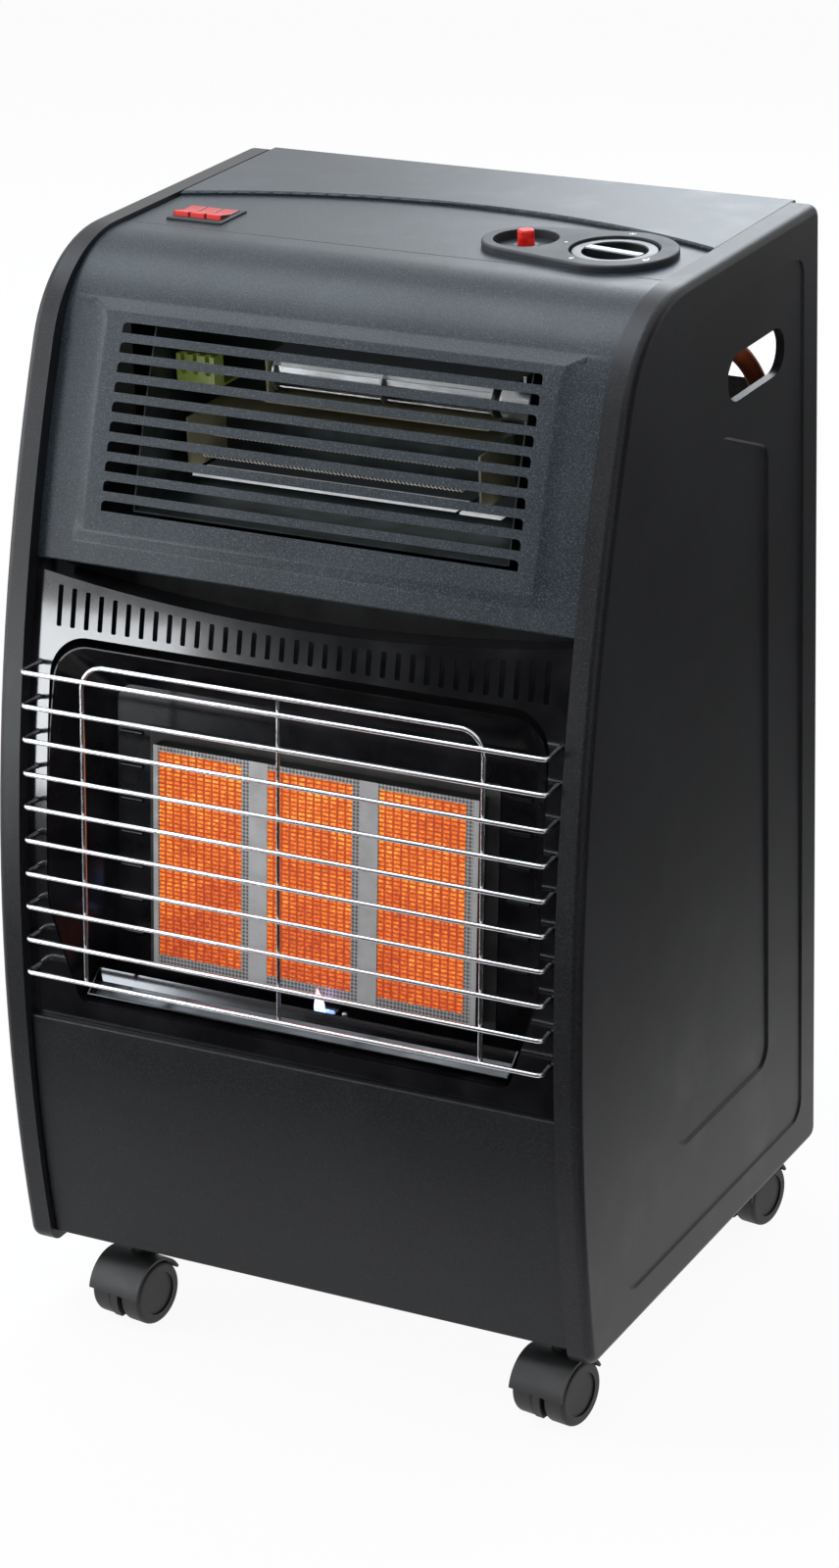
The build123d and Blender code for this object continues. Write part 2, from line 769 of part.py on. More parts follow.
def pilot_burner():
    foot_z = lower_top + window_bottom + 3.1
    reach = pilot_gap + 6
    foot = block(pilot_x - reach, pilot_x + reach, pilot_y - 3, pilot_y + 5, foot_z, foot_z + sheet)
    foot -= Pos(pilot_x - pilot_gap, pilot_y, foot_z) * Cylinder(2.8, 5)
    foot -= Pos(pilot_x + pilot_gap, pilot_y, foot_z) * Cylinder(2.3, 5)
    tube = Pos(pilot_x, pilot_y, foot_z - 2) * Cylinder(pilot_radius, 24)
    leg = block(pilot_x - 8, pilot_x + 8, pilot_y + 3, pilot_y + 3.8, foot_z, foot_z + 15)
    hood = block(pilot_x - 8, pilot_x + 8, pilot_y - 3, pilot_y + 3.8, foot_z + 14.2, foot_z + 15)
    return foot + tube + leg + hood


def ignition_electrode():
    x, z = pilot_x - pilot_gap, lower_top + window_bottom
    rod_body = Pos(x, pilot_y, z + 1) * Cylinder(2.5, 22)
    return rod_body + bent([(x, pilot_y, z + 11), (x, pilot_y, z + 14), (x + 2, pilot_y, z + 16)], 1.5, 0.7)


def thermocouple():
    x, z = pilot_x + pilot_gap, lower_top + window_bottom
    probe = Pos(x, pilot_y, z + 2) * Cylinder(2.0, 28)
    return fillet(probe.faces().sort_by(Axis.Z)[-1].edges(), 1.5)


# Gas train


venturi = burner_plane.from_local_coords(Vector(0, -half_h, -burner_depth * 0.6))
manifold_y = venturi.Y
manifold_z = venturi.Z - manifold_drop
valve_z = control_z - valve_drop
shield_y = burner_y + half_h * sin(lean) + burner_depth * cos(lean) + shield_gap
pipe_x = knob_x
pilot_pipe_x = knob_x - 12.0


def gas_manifold():
    tube = Pos(0, manifold_y, manifold_z) * Rot(0, 90, 0) * Cylinder(manifold_radius, 2 * manifold_half)
    hollow = Rot(0, 90, 0) * Cylinder(manifold_radius - 1.2, 2 * manifold_half - 6)
    tube -= Pos(0, manifold_y, manifold_z) * hollow
    extras = []
    for step in range(plaque_count):
        x = (step - (plaque_count - 1) / 2) * plaque_pitch
        nut = extrude(Pos(x, manifold_y, manifold_z + manifold_radius - 1) * RegularPolygon(5.0, 6), 7)
        tip = Pos(x, manifold_y, manifold_z + manifold_radius + 8) * Cylinder(injector_radius, 8)
        extras += [nut, tip]
    for x in (-plaque_pitch / 2, plaque_pitch / 2):
        top = venturi.Z - 0.8
        strap = block(x - 6, x + 6, manifold_y - 1, manifold_y + 1, manifold_z + manifold_radius - 1, top)
        extras += [strap, block(x - 6, x + 6, manifold_y - 6, manifold_y + 6, top - 1.2, top)]
    return tube.fuse(*extras)


def gas_pipe():
    face_y = dial_y - valve_width / 2
    points = [
        (pipe_x, face_y, valve_z),
        (pipe_x, pipe_drop_y, valve_z),
        (pipe_x, pipe_drop_y, fascia_bottom - 5),
        (pipe_x, shield_y + 16, fascia_bottom - 50),
        (pipe_x, shield_y + 16, manifold_z),
        (pipe_x, manifold_y, manifold_z),
        (manifold_half, manifold_y, manifold_z),
    ]
    return bent(points, pipe_bend, pipe_radius)


def pilot_pipe():
    face_y = dial_y - valve_width / 2
    low = lower_top + window_bottom - 10
    points = [
        (pilot_x, pilot_y, low - 0.9),
        (pilot_x, pilot_y, low - 24),
        (pilot_pipe_x, pilot_y, low - 24),
        (pilot_pipe_x, shield_y + 12, low - 24),
        (pilot_pipe_x, shield_y + 12, fascia_bottom - 50),
        (pilot_pipe_x, pipe_drop_y, fascia_bottom - 5),
        (pilot_pipe_x, pipe_drop_y, valve_z),
        (pilot_pipe_x, face_y, valve_z),
    ]
    return bent(points, pilot_pipe_bend, pilot_pipe_radius)


def heat_shield():
    line = [
        (shield_y, floor_z),
        (shield_y, fascia_bottom + 16),
        (shield_top_y, fascia_bottom + 29),
        (shield_top_y, control_z - sheet - touch_gap),
    ]
    half = inner_half - sheet - touch_gap
    plate = along_x(folded(line, sheet), -half, half)
    plate -= Pos(pipe_x, shield_y, manifold_z) * Rot(90, 0, 0) * Cylinder(pipe_radius + 2, 20)
    low = lower_top + window_bottom - 34
    return plate - Pos(pilot_pipe_x, shield_y, low) * Rot(90, 0, 0) * Cylinder(pilot_pipe_radius + 2, 20)


# Top


def lobes(grow):
    """Outline of the dial plate: a large and a small lobe joined by tangents."""
    knob_end = CenterArc((knob_x, dial_y), lobe_radius + grow, 0, 360)
    return make_hull([knob_end, CenterArc((igniter_x, dial_y + 2), igniter_lobe + grow, 0, 360)])


well_radius = knob_radius + knob_play + well_wall
knob_top = control_z + dial_plate + knob_proud
knob_low = knob_top - knob_height
hub_low = knob_low - hub_drop
well_low = hub_low - knob_travel - 2.5
well_floor = control_z + dial_plate - igniter_floor


def control_panel():
    front, back = seam_y + seam_gap, seam_y + lid_middle + lid_overlap
    outer = block(-inner_half, inner_half, front, back, control_z - flange, control_z)
    outer = fillet(outer.faces().sort_by(Axis.Z)[-1].edges(), 1.0)
    half = inner_half - sheet
    panel = outer - block(-half, half, front + sheet, back - sheet, control_z - 40, control_z - sheet)
    panel -= Pos(knob_x, dial_y, control_z) * Cylinder(well_radius + touch_gap, 10)
    panel -= Pos(igniter_x, dial_y + 2, control_z) * Cylinder(igniter_well + well_wall + touch_gap, 10)
    cut = Box(switch_length - 3.2, switch_depth - 3.2, 10)
    return panel - Pos(switch_x, switch_y, control_z) * cut


def lid_outline(inset):
    half, rear = inner_half - inset, rear_y - inset
    ends, middle = seam_y + lid_end + inset, seam_y + lid_middle + inset
    arc = ThreePointArc((half, ends), (0, middle), (-half, ends))
    return make_face(arc + Polyline((-half, ends), (-half, rear), (half, rear), (half, ends)))


def top_lid():
    outer = along_z(lid_outline(0), top_z - lid_skirt, top_z)
    outer = fillet(outer.faces().sort_by(Axis.Z)[-1].edges(), 1.4)
    inner = along_z(lid_outline(sheet), top_z - lid_skirt - 1, top_z - sheet)
    inner = fillet(inner.faces().sort_by(Axis.Z)[-1].edges(), 1.4 - sheet)
    lid = outer - inner
    wide = inner_half + 1
    behind = seam_y + lid_middle + lid_overlap + touch_gap
    low = top_z - lid_skirt - 1
    lid -= block(-wide, wide, seam_y, behind, low, control_z)
    return lid - block(-wide, wide, seam_y, rear_y - 2, low, top_z - flange - control_drop)


def control_plate():
    plate = along_z(lobes(0), control_z, control_z + dial_plate)
    plate = fillet(plate.faces().sort_by(Axis.Z)[-1].edges(), 1.6)
    plate += along_z(Pos(knob_x, dial_y) * Circle(well_radius), well_low - well_wall, control_z)
    well_face = Pos(igniter_x, dial_y + 2) * Circle(igniter_well + well_wall)
    plate += along_z(well_face, well_floor - well_wall, control_z)
    plate -= along_z(Pos(knob_x, dial_y) * Circle(knob_radius + knob_play), well_low, control_z + 20)
    plate -= along_z(Pos(knob_x, dial_y) * Circle(spindle_radius + 1), well_low - 10, control_z)
    plate -= along_z(Pos(igniter_x, dial_y + 2) * Circle(igniter_well), well_floor, control_z + 20)
    plate -= along_z(Pos(igniter_x, dial_y + 2) * Circle(igniter_radius - 0.7), well_floor - 10, control_z)
    rims = plate.edges().filter_by(GeomType.CIRCLE).group_by(Axis.Z)[-1]
    return fillet(rims, 0.8)


def gas_knob():
    knob = along_z(Circle(knob_radius), knob_low, knob_top)
    knob = fillet(knob.faces().sort_by(Axis.Z)[-1].edges(), 1.2)
    knob -= along_z(Circle(knob_dish), knob_low + knob_web, knob_top + 1)
    rim = knob.edges().filter_by(GeomType.CIRCLE).group_by(Axis.Z)[-1]
    knob = fillet(rim.sort_by(SortBy.RADIUS)[0], 1.0)
    knob += along_z(Circle(knob_hub), hub_low, knob_low)
    bar_top = knob_top - inlay_thickness
    bar = along_z(RectangleRounded(2 * knob_dish + 2, grip_bar_width, 1.0), knob_low + 1, bar_top)
    knob += bar & along_z(Circle(knob_dish + 0.5), knob_low, knob_top)
    knob -= along_z(Circle(spindle_radius + spindle_play), hub_low - 1, knob_low + knob_web - 0.8)
    return Pos(knob_x, dial_y) * Rot(0, 0, knob_turn) * knob


def knob_inlay():
    strip = RectangleRounded(grip_bar_length, grip_bar_width - 1.0, 1.2)
    solid = along_z(strip, knob_top - inlay_thickness, knob_top + 0.4)
    solid = fillet(solid.faces().sort_by(Axis.Z)[-1].edges(), 0.3)
    return Pos(knob_x, dial_y) * Rot(0, 0, knob_turn) * solid


valve_top = valve_z + valve_height / 2
boss_top = valve_top + boss_height


def valve_spindle():
    stem = along_z(Circle(spindle_radius), valve_z - 4, knob_low + knob_web - 1.0)
    return Pos(knob_x, dial_y) * stem


def spring_cup():
    low = boss_top + knob_travel + 0.5
    cup = along_z(Circle(collar_radius), low, low + 3)
    return Pos(knob_x, dial_y) * (cup - along_z(Circle(spindle_radius + spindle_play), low - 1, low + 4))


hose_points = [
    (160.0, 73.0, 654.0),
    (167.8, 108.0, 654.0),
    (175.0, 134.8, 642.5),
    (180.5, 155.3, 621.3),
    (183.5, 166.4, 593.6),
    (183.2, 167.8, 561.5),
    (178.6, 163.5, 523.0),
    (172.5, 158.0, 473.0),
    (167.2, 155.4, 417.0),
    (165.0, 155.0, 358.0),
    (165.0, 155.0, 300.0),
]


def gas_valve():
    half, low = valve_length / 2, valve_z - valve_height / 2
    body = block(-half, half, -valve_width / 2, valve_width / 2, low, valve_top)
    body = chamfer(body.edges().filter_by(Axis.Z), 3.0)
    body += along_z(Circle(valve_boss), valve_top, boss_top)
    body -= along_z(Circle(spindle_radius + spindle_play), valve_z - 9, boss_top + 1)
    body = Pos(knob_x, dial_y) * body
    start, following = Vector(*hose_points[0]), Vector(*hose_points[1])
    way = (following - start).normalized()
    outlet_end = start - way * ferrule_length
    outlet = extrude(Plane(origin=outlet_end - way * 12, z_dir=way) * Circle(ferrule_radius - 2), 12)
    return body + outlet


def valve_bracket():
    high = control_z - sheet
    half = well_radius + 4
    low = valve_top + bracket_sheet
    line = [(-half - 6, high), (-half, high), (-half, low), (half, low), (half, high), (half + 6, high)]
    section = folded(line, -bracket_sheet)
    strap = along_y(Pos(knob_x, 0) * section, dial_y - 12, dial_y + 12)
    return strap - Pos(knob_x, dial_y, valve_top) * Cylinder(valve_boss + 0.2, 20)


def sleeve(start, toward, length):
    """Ferrule ending at start, pointing toward the next point of the hose."""
    way = (Vector(*toward) - Vector(*start)).normalized()
    tube = extrude(Plane(origin=Vector(*start) - way * length, z_dir=way) * Circle(ferrule_radius), length)
    return fillet(tube.edges().filter_by(GeomType.CIRCLE), 0.8)


def hose_ferrules():
    top = sleeve(hose_points[0], hose_points[1], ferrule_length)
    return [top, sleeve(hose_points[-1], hose_points[-2], ferrule_length)]


def bend_radii(points):
    """A radius for each bend: the turn takes 0.45 of the shorter run beside it."""
    runs = [Vector(*b) - Vector(*a) for a, b in zip(points, points[1:])]
    radii = []
    for one, two in zip(runs, runs[1:]):
        turn = radians(one.get_angle(two))
        radii.append(0.45 * min(one.length, two.length) / tan(turn / 2))
    return radii


def gas_hose():
    radii = bend_radii(hose_points)
    print("hose bend radii", [round(r, 1) for r in radii])
    path = FilletPolyline(*hose_points, radius=radii)
    hose = sweep(Plane(path @ 0, z_dir=path % 0) * Circle(hose_radius), path=path)
    ideal = pi * hose_radius**2 * path.length
    print("hose length", round(path.length, 1), "volume ratio", hose.volume / ideal)
    return hose


def regulator_body():
    x, y, z = hose_points[-1]
    top = z - ferrule_length
    middle = top - 12 - regulator_radius
    disc = Pos(x, y, middle) * Rot(90, 0, 0) * Cylinder(regulator_radius, regulator_width)
    disc = fillet(disc.edges().filter_by(GeomType.CIRCLE), 3.0)
    neck = Pos(x, y, top - 8) * Cylinder(6.0, 16)
    nut = Pos(x, y - regulator_width / 2 - 9, middle) * Rot(90, 0, 0) * Cylinder(17, 20)
    bore = Pos(x, y - regulator_width / 2 - 9, middle) * Rot(90, 0, 0) * Cylinder(11, 21)
    hub = Pos(x, y + regulator_width / 2 + 1, middle) * Rot(90, 0, 0) * Cylinder(7, 3)
    return disc + neck + (nut - bore) + hub


def regulator_lever():
    x, y, z = hose_points[-1]
    middle = z - ferrule_length - 12 - regulator_radius
    low = y + regulator_width / 2 + 2.8
    arm = Pos(x, middle) * (SlotOverall(lever_length, 10) + Circle(8))
    arm = along_y(arm, low, low + 5)
    return fillet(arm.faces().sort_by(Axis.Y)[-1].edges(), 1.0)


def piezo_igniter():
    z = well_floor - well_wall
    body = along_z(Circle(igniter_radius), z - igniter_length, z)
    body += along_z(Circle(igniter_radius + 2), z - 3, z)
    body += along_z(Circle(igniter_radius - 1), z, well_floor + 1.5)
    low = control_z + button_top - button_length - button_travel - 1
    body -= along_z(Circle(button_radius + button_play), low, control_z + 20)
    return Pos(igniter_x, dial_y + 2) * body


def piezo_button():
    high = control_z + button_top
    button = along_z(Circle(button_radius), high - button_length, high)
    button = fillet(button.faces().sort_by(Axis.Z)[-1].edges(), 1.5)
    return Pos(igniter_x, dial_y + 2) * button


pivot_z = control_z + switch_rise - pivot_drop


def switch_block():
    half = switch_length / 2
    rim = block(-half, half, -switch_depth / 2, switch_depth / 2, 0, switch_rise)
    rim = chamfer(rim.faces().sort_by(Axis.Z)[-1].edges(), 0.8)
    shell = Box(switch_length - 4, switch_depth - 4, switch_body)
    body = rim + Pos(0, 0, -switch_body / 2) * shell
    opening = Box(switch_length - 2 * switch_rim, rocker_length + 1.6, 2 * (switch_rise + 2.4))
    body -= opening
    pitch = (switch_length - 2 * switch_rim) / rocker_count
    for step in range(rocker_count):
        x = (step - (rocker_count - 1) / 2) * pitch
        body -= Pos(x, 0, -6) * Box(rocker_neck + 1.0, rocker_length - 2, 10)
    bore = Rot(0, 90, 0) * Cylinder(rocker_axle + rocker_play, switch_length - 6)
    return Pos(switch_x, switch_y, control_z) * (body - Pos(0, 0, pivot_z - control_z) * bore)


def rocker_rod():
    rod_form = Rot(0, 90, 0) * Cylinder(rocker_axle, switch_length - 6)
    return Pos(switch_x, switch_y, pivot_z) * rod_form


def rocker(step):
    half = rocker_length / 2
    fall = 0.5 * half * tan(radians(rocker_swing))
    end = 2.6 + fall
    top = Polyline((-half, -0.6), (-half, end), (0, 2.6), (half, end), (half, -0.6), close=True)
    pitch = (switch_length - 2 * switch_rim) / rocker_count
    cap = along_x(make_face(top), -rocker_width / 2, rocker_width / 2)
    cap = fillet(cap.edges().filter_by(Axis.X).group_by(Axis.Z)[-1], 0.8)
    stem = make_face(Polyline((-7, 0), (-4, -6), (4, -6), (7, 0), close=True))
    neck = along_x(stem, -rocker_neck / 2, rocker_neck / 2)
    bore = Rot(0, 90, 0) * Cylinder(rocker_axle + rocker_play, 40)
    body = Rot(-rocker_swing / 2, 0, 0) * (cap + neck - bore)
    x = switch_x + (step - (rocker_count - 1) / 2) * pitch
    return Pos(x, switch_y, pivot_z) * body


# Fan heater


fan_top = top_z - fan_top_drop
fan_low = fan_top - fan_height
fan_back = shield_top_y - sheet - touch_gap
fan_inner = fan_back - fan_wall - touch_gap


def fan_form(low, high, back, half, recess):
    mid = (low + high) / 2
    mouth = ThreePointArc(*[(front_at(z, recess), z) for z in (low, mid, high)])
    rest = Polyline(mouth @ 1, (back, high), (back, low), mouth @ 0)
    return along_x(make_face(mouth + rest), -half, half)


def fan_housing():
    outer = fan_form(fan_low, fan_top, fan_back, fan_half, fan_recess)
    wall = fan_wall
    inner = fan_form(fan_low + wall, fan_top - wall, fan_back - wall, fan_half - wall, fan_recess - 9)
    return outer - inner


def upper_scroll():
    strip = block(impeller_left - 2, impeller_right + 14, element_y, fan_inner, duct_line + 123.5, duct_line + 125)
    notch = block(11, 19, element_y - 1, element_y + 6, duct_line + 114, duct_line + 134)
    return fillet(strip.edges().filter_by(Axis.X).sort_by(Axis.Y)[:2], 0.6) - notch


def lower_scroll():
    return block(impeller_left - 2, impeller_right + 1, element_y, fan_inner, duct_line + 94.5, duct_line + 96.5)


def divider_strip():
    return block(comb_left + 2, comb_right - 4, element_y, fan_inner, duct_line + 81.5, duct_line + 83.5)


def lower_baffle():
    low = duct_line + 41
    long_strip = block(comb_left + 2, 70, element_y - 8, fan_inner, low, low + 1.5)
    return [long_strip, block(73, 102, element_y - 8, fan_inner, low - 1, low + 0.5)]


def element_frame():
    """End boards that hold the heating coils."""
    boards = []
    for x in (comb_left, comb_right):
        board = block(x - 0.8, x + 0.8, element_y - 8, fan_inner, duct_line + 44, duct_line + 80)
        boards.append(fillet(board.edges().filter_by(Axis.X), 1.5))
    return boards


def heater_coils():
    rows = []
    for level, left, right in ((70.0, -109.0, 67.0), (55.0, -118.0, 72.0)):
        z = duct_line + level
        coil = rod((left, element_y, z), (right, element_y, z), coil_radius)
        lead = rod((comb_left + 0.8, element_y, z), (comb_right - 0.8, element_y, z), lead_radius)
        rows.append(coil + lead)
    return rows


def terminal_block():
    low, high = duct_line + 100, duct_line + 122
    body = block(-131, -103, element_y - 6, element_y + 6, low, high)
    for step in range(3):
        body -= Pos(-126 + step * 9, element_y - 4, high) * Cylinder(2.5, 8)
        body -= Pos(-126 + step * 9, element_y - 6, low + 11) * Rot(90, 0, 0) * Cylinder(2.2, 8)
    foot = block(-131, -103, element_y + 6, fan_inner, low, low + 1.5)
    return body + foot


def fan_impeller():
    middle = (impeller_left + impeller_right) / 2
    span = impeller_right - impeller_left
    seat = Pos(middle, impeller_y, impeller_z)
    across = Rot(0, 90, 0)
    pieces = []
    for x in (-span / 2 + 0.8, 0, span / 2 - 0.8):
        pieces.append(Pos(x, 0, 0) * across * Cylinder(impeller_radius, 1.6))
    for step in range(blade_count):
        blade = Pos(0, 0, impeller_radius - 3.4) * Rot(32, 0, 0) * Box(span - 1, 4.2, 0.9)
        pieces.append(Rot(360 / blade_count * step, 0, 0) * blade)
    pieces.append(Pos(-span / 2 - 3, 0, 0) * across * Cylinder(fan_shaft, 6))
    pieces.append(Pos(span / 2 - 4, 0, 0) * across * Cylinder(4.0, 8))
    wheel = seat * pieces[0].fuse(*pieces[1:])
    return wheel - Pos(impeller_right, impeller_y, impeller_z) * across * Cylinder(fan_shaft + shaft_play, 14)


def fan_motor():
    x = impeller_right + 5
    body = Pos(x + 13, impeller_y, impeller_z) * Rot(0, 90, 0) * Cylinder(12.5, 26)
    body = fillet(body.edges().filter_by(GeomType.CIRCLE), 2.0)
    bearing = Pos(x - 1, impeller_y, impeller_z) * Rot(0, 90, 0) * Cylinder(5, 4)
    shaft = Pos(x - 5, impeller_y, impeller_z) * Rot(0, 90, 0) * Cylinder(fan_shaft, 12)
    bracket = block(x + 15, x + 17, impeller_y - 6, fan_inner, impeller_z - 19, impeller_z + 19)
    return body + bearing + shaft + bracket


def fan_bearing():
    x = impeller_left - 5
    plate = block(x, x + 1.5, impeller_y - 10, fan_inner, impeller_z - 13, impeller_z + 13)
    bush = Pos(x + 0.75, impeller_y, impeller_z) * Rot(0, 90, 0) * Cylinder(4.5, 4)
    bore = Rot(0, 90, 0) * Cylinder(fan_shaft + shaft_play, 20)
    return plate + bush - Pos(x, impeller_y, impeller_z) * bore


# Base and rear


pan_top = bottom_z + pan_wall
pan_front = front_at(bottom_z + panel_toe, lower_recess + flange) + touch_gap
pan_rear = rear_y - 3
caster_half_width = web_thickness / 2 + wheel_width
hood_reach = (wheel_radius + hood_gap + hood_wall) * cos(radians(hood_rear_angle))
caster_length = caster_trail + hood_reach
turn = radians(caster_turn)
rear_reach = caster_length * cos(turn) + caster_half_width * sin(turn)
overhang = max(0.0, rear_reach - caster_rear_gap)
casters = [
    (x, y)
    for x in (caster_left, caster_right)
    for y in (front_y + caster_front_gap, rear_y - caster_rear_gap)
]


def base_pan():
    low = floor_z - base_sheet
    pan = block(-inner_half, inner_half, pan_front, pan_rear, low, pan_top)
    pan = fillet(pan.edges().filter_by(Axis.Z), 3.0)
    half = inner_half - sheet
    hollow = block(-half, half, pan_front + sheet, pan_rear - sheet, floor_z, pan_top + 1)
    pan -= fillet(hollow.edges().filter_by(Axis.Z), 3.0 - sheet)
    for x, y in casters:
        pan -= Pos(x, y, low) * Cylinder(socket_radius + 0.1, 5)
    for step in range(5):
        pan -= Pos(0, 55 + (step - 2) * 34, low) * extrude(SlotOverall(130, 12), 5, both=True)
    return pan


def caster_sockets():
    low = floor_z - base_sheet
    sockets = []
    for x, y in casters:
        socket = Pos(0, 0, low + socket_length / 2) * Cylinder(socket_radius, socket_length)
        socket += Pos(0, 0, low - 0.5) * Cylinder(socket_flange, 1.0)
        socket -= Cylinder(stem_radius + stem_play, 400)
        sockets.append(Pos(x, y, 0) * socket)
    return sockets


def caster_at(index):
    x, y = casters[index]
    return Pos(x, y, 0) * Rot(0, 0, -caster_turn)


def caster_housing(index):
    boss_high = floor_z - base_sheet - 1.0 - seat_gap
    half = caster_half_width
    axle = Pos(0, caster_trail, wheel_radius)
    hood_radius = wheel_radius + hood_gap
    hood = Circle(hood_radius + hood_wall) - Circle(hood_radius)
    rear_rise, front_rise = 60 * tan(radians(hood_rear_angle)), 60 * tan(radians(hood_front_angle))
    hood -= Polygon((0, 0), (60, rear_rise), (60, -60), (-60, -60), (-60, front_rise), align=None)
    shell = axle * along_x(hood, -half, half)
    web_face = Circle(hood_radius + 0.5) - Pos(0, -wheel_radius - 3) * Rectangle(80, 22)
    web = axle * along_x(web_face, -web_thickness / 2, web_thickness / 2)
    pin = axle * (Rot(0, 90, 0) * Cylinder(axle_radius, 2 * half - 6))
    top = wheel_radius + sqrt(hood_radius**2 - caster_trail**2)
    boss = along_z(Circle(9.0), top - 3, boss_high) - axle * (Rot(0, 90, 0) * Cylinder(hood_radius, 80))
    stem = along_z(Circle(stem_radius), boss_high - 4, floor_z + socket_length - 4)
    stem = chamfer(stem.faces().sort_by(Axis.Z)[-1].edges(), 0.8)
    return caster_at(index) * (shell + web + pin + boss + stem)


def caster_wheels(index):
    wheels = []
    for side in (-1, 1):
        near = web_thickness / 2 + web_play
        tread = Rot(0, 90, 0) * Cylinder(wheel_radius, wheel_width - web_play)
        tread = fillet(tread.edges().filter_by(GeomType.CIRCLE), wheel_edge)
        middle = near + (wheel_width - web_play) / 2
        outer_face = near + wheel_width - web_play
        dish = Pos(outer_face - middle, 0, 0) * Rot(0, 90, 0) * Cylinder(wheel_radius - 7, 2.4)
        bore = Pos(-middle, 0, 0) * Rot(0, 90, 0) * Cylinder(axle_radius + axle_play, 2 * (outer_face - 3))
        wheel = tread - dish - bore
        wheel = Pos(middle, caster_trail, wheel_radius) * wheel
        wheels.append(wheel if side > 0 else mirror(wheel, about=Plane.YZ))
    return [caster_at(index) * wheel for wheel in wheels]


def rear_rail():
    middle = top_z - rail_drop
    low, high = middle - rail_height / 2, middle + rail_height / 2
    back = rear_y - cover_inset
    rail = block(-inner_half, inner_half, back - rail_depth, back, low, high)
    rail -= block(-inner_half - 1, inner_half + 1, back - 20, back - sheet, low + sheet, high - sheet)
    return rail - Pos(gland_x, back, middle) * Rot(90, 0, 0) * Cylinder(gland_radius + 0.3, 10)


def cable_gland():
    middle = top_z - rail_drop
    back = rear_y - cover_inset
    body = Pos(gland_x, back - 4, middle) * Rot(90, 0, 0) * Cylinder(gland_radius, 8)
    body += Pos(gland_x, back + 0.5, middle) * Rot(90, 0, 0) * Cylinder(gland_radius + 2, 1.0)
    body += Pos(gland_x, back - sheet - 1.5, middle) * Rot(90, 0, 0) * Cylinder(gland_radius + 1.0, 2.0)
    return body - Pos(gland_x, back, middle) * Rot(90, 0, 0) * Cylinder(3.6, 40)


def rear_cover():
    half = seam_half - cover_side_gap
    low, high = pan_top, pan_top + cover_height
    back = rear_y - cover_inset
    cover = block(-half, half, back - cover_depth, back, low, high)
    cover = fillet(cover.faces().sort_by(Axis.Y)[-1].edges(), 1.6)
    cover -= block(sheet - half, half - sheet, back - 20, back - sheet, low + sheet, high - sheet)
    for base in (low + 40, high - 40 - vent_pitch * (vent_count - 1)):
        for step in range(vent_count):
            vent = Pos(0, base + step * vent_pitch) * SlotOverall(vent_length, vent_width)
            cover -= along_y(vent, back - 5, back + 5)
    return cover


# One file for each piece


def node(name, shape):
    """Write a piece, moved so that the rear casters and the guard are equally far from y = 0."""
    shapes = shape if isinstance(shape, (list, tuple)) else [shape]
    solids = [Pos(0, -overhang / 2, 0) * solid for piece in shapes for solid in piece.solids()]
    whole = solids[0] if len(solids) == 1 else Compound(children=solids)
    export_step(whole, os.path.join("parts", name + ".step"))


os.makedirs("parts", exist_ok=True)

right_side = side_panel()
node("right_side_panel", right_side)
node("left_side_panel", mirror(right_side, about=Plane.YZ))
node("front_fascia", front_fascia())
node("surround_plate", surround_plate())
node("lower_front_panel", lower_front_panel())
node("guard_grille", guard_grille())
node("reflector_box", reflector_box())
node("bottom_deflector", bottom_deflector())
node("burner_box", burner_box())
node("burner_frame", burner_frame())
for step, side in enumerate(("left", "centre", "right")):
    node("plaque_" + side, plaque(step))
node("pilot_burner", pilot_burner())
node("ignition_electrode", ignition_electrode())
node("thermocouple", thermocouple())
node("gas_manifold", gas_manifold())
node("gas_pipe", gas_pipe())
node("pilot_pipe", pilot_pipe())
node("heat_shield", heat_shield())
node("control_panel", control_panel())
node("top_lid", top_lid())
node("control_plate", control_plate())
node("gas_knob", gas_knob())
node("knob_inlay", knob_inlay())
node("valve_spindle", valve_spindle())
node("spring_cup", spring_cup())
node("gas_valve", gas_valve())
node("valve_bracket", valve_bracket())
node("hose_ferrules", hose_ferrules())
node("gas_hose", gas_hose())
node("regulator_body", regulator_body())
node("regulator_lever", regulator_lever())
node("piezo_igniter", piezo_igniter())
node("piezo_button", piezo_button())
node("switch_block", [switch_block(), rocker_rod()])
for step, side in enumerate(("left", "centre", "right")):
    node("rocker_" + side, rocker(step))
node("fan_housing", fan_housing())
node("bright_strips", [upper_scroll(), *lower_baffle()])
node("duct_plates", [lower_scroll(), divider_strip()])
node("fan_supports", [*element_frame(), fan_bearing()])
node("heater_coils", heater_coils())
node("terminal_block", terminal_block())
node("fan_impeller", fan_impeller())
node("fan_motor", fan_motor())
node("base_pan", base_pan())
node("caster_sockets", caster_sockets())
for index, place in enumerate(("front_left", "rear_left", "front_right", "rear_right")):
    node("caster_" + place, caster_housing(index))
    node("wheels_" + place, caster_wheels(index))
node("rear_rail", rear_rail())
node("cable_gland", cable_gland())
node("rear_cover", rear_cover())
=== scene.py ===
import json
from math import cos, pi, radians, sin

import bpy
from mathutils import Matrix, Vector


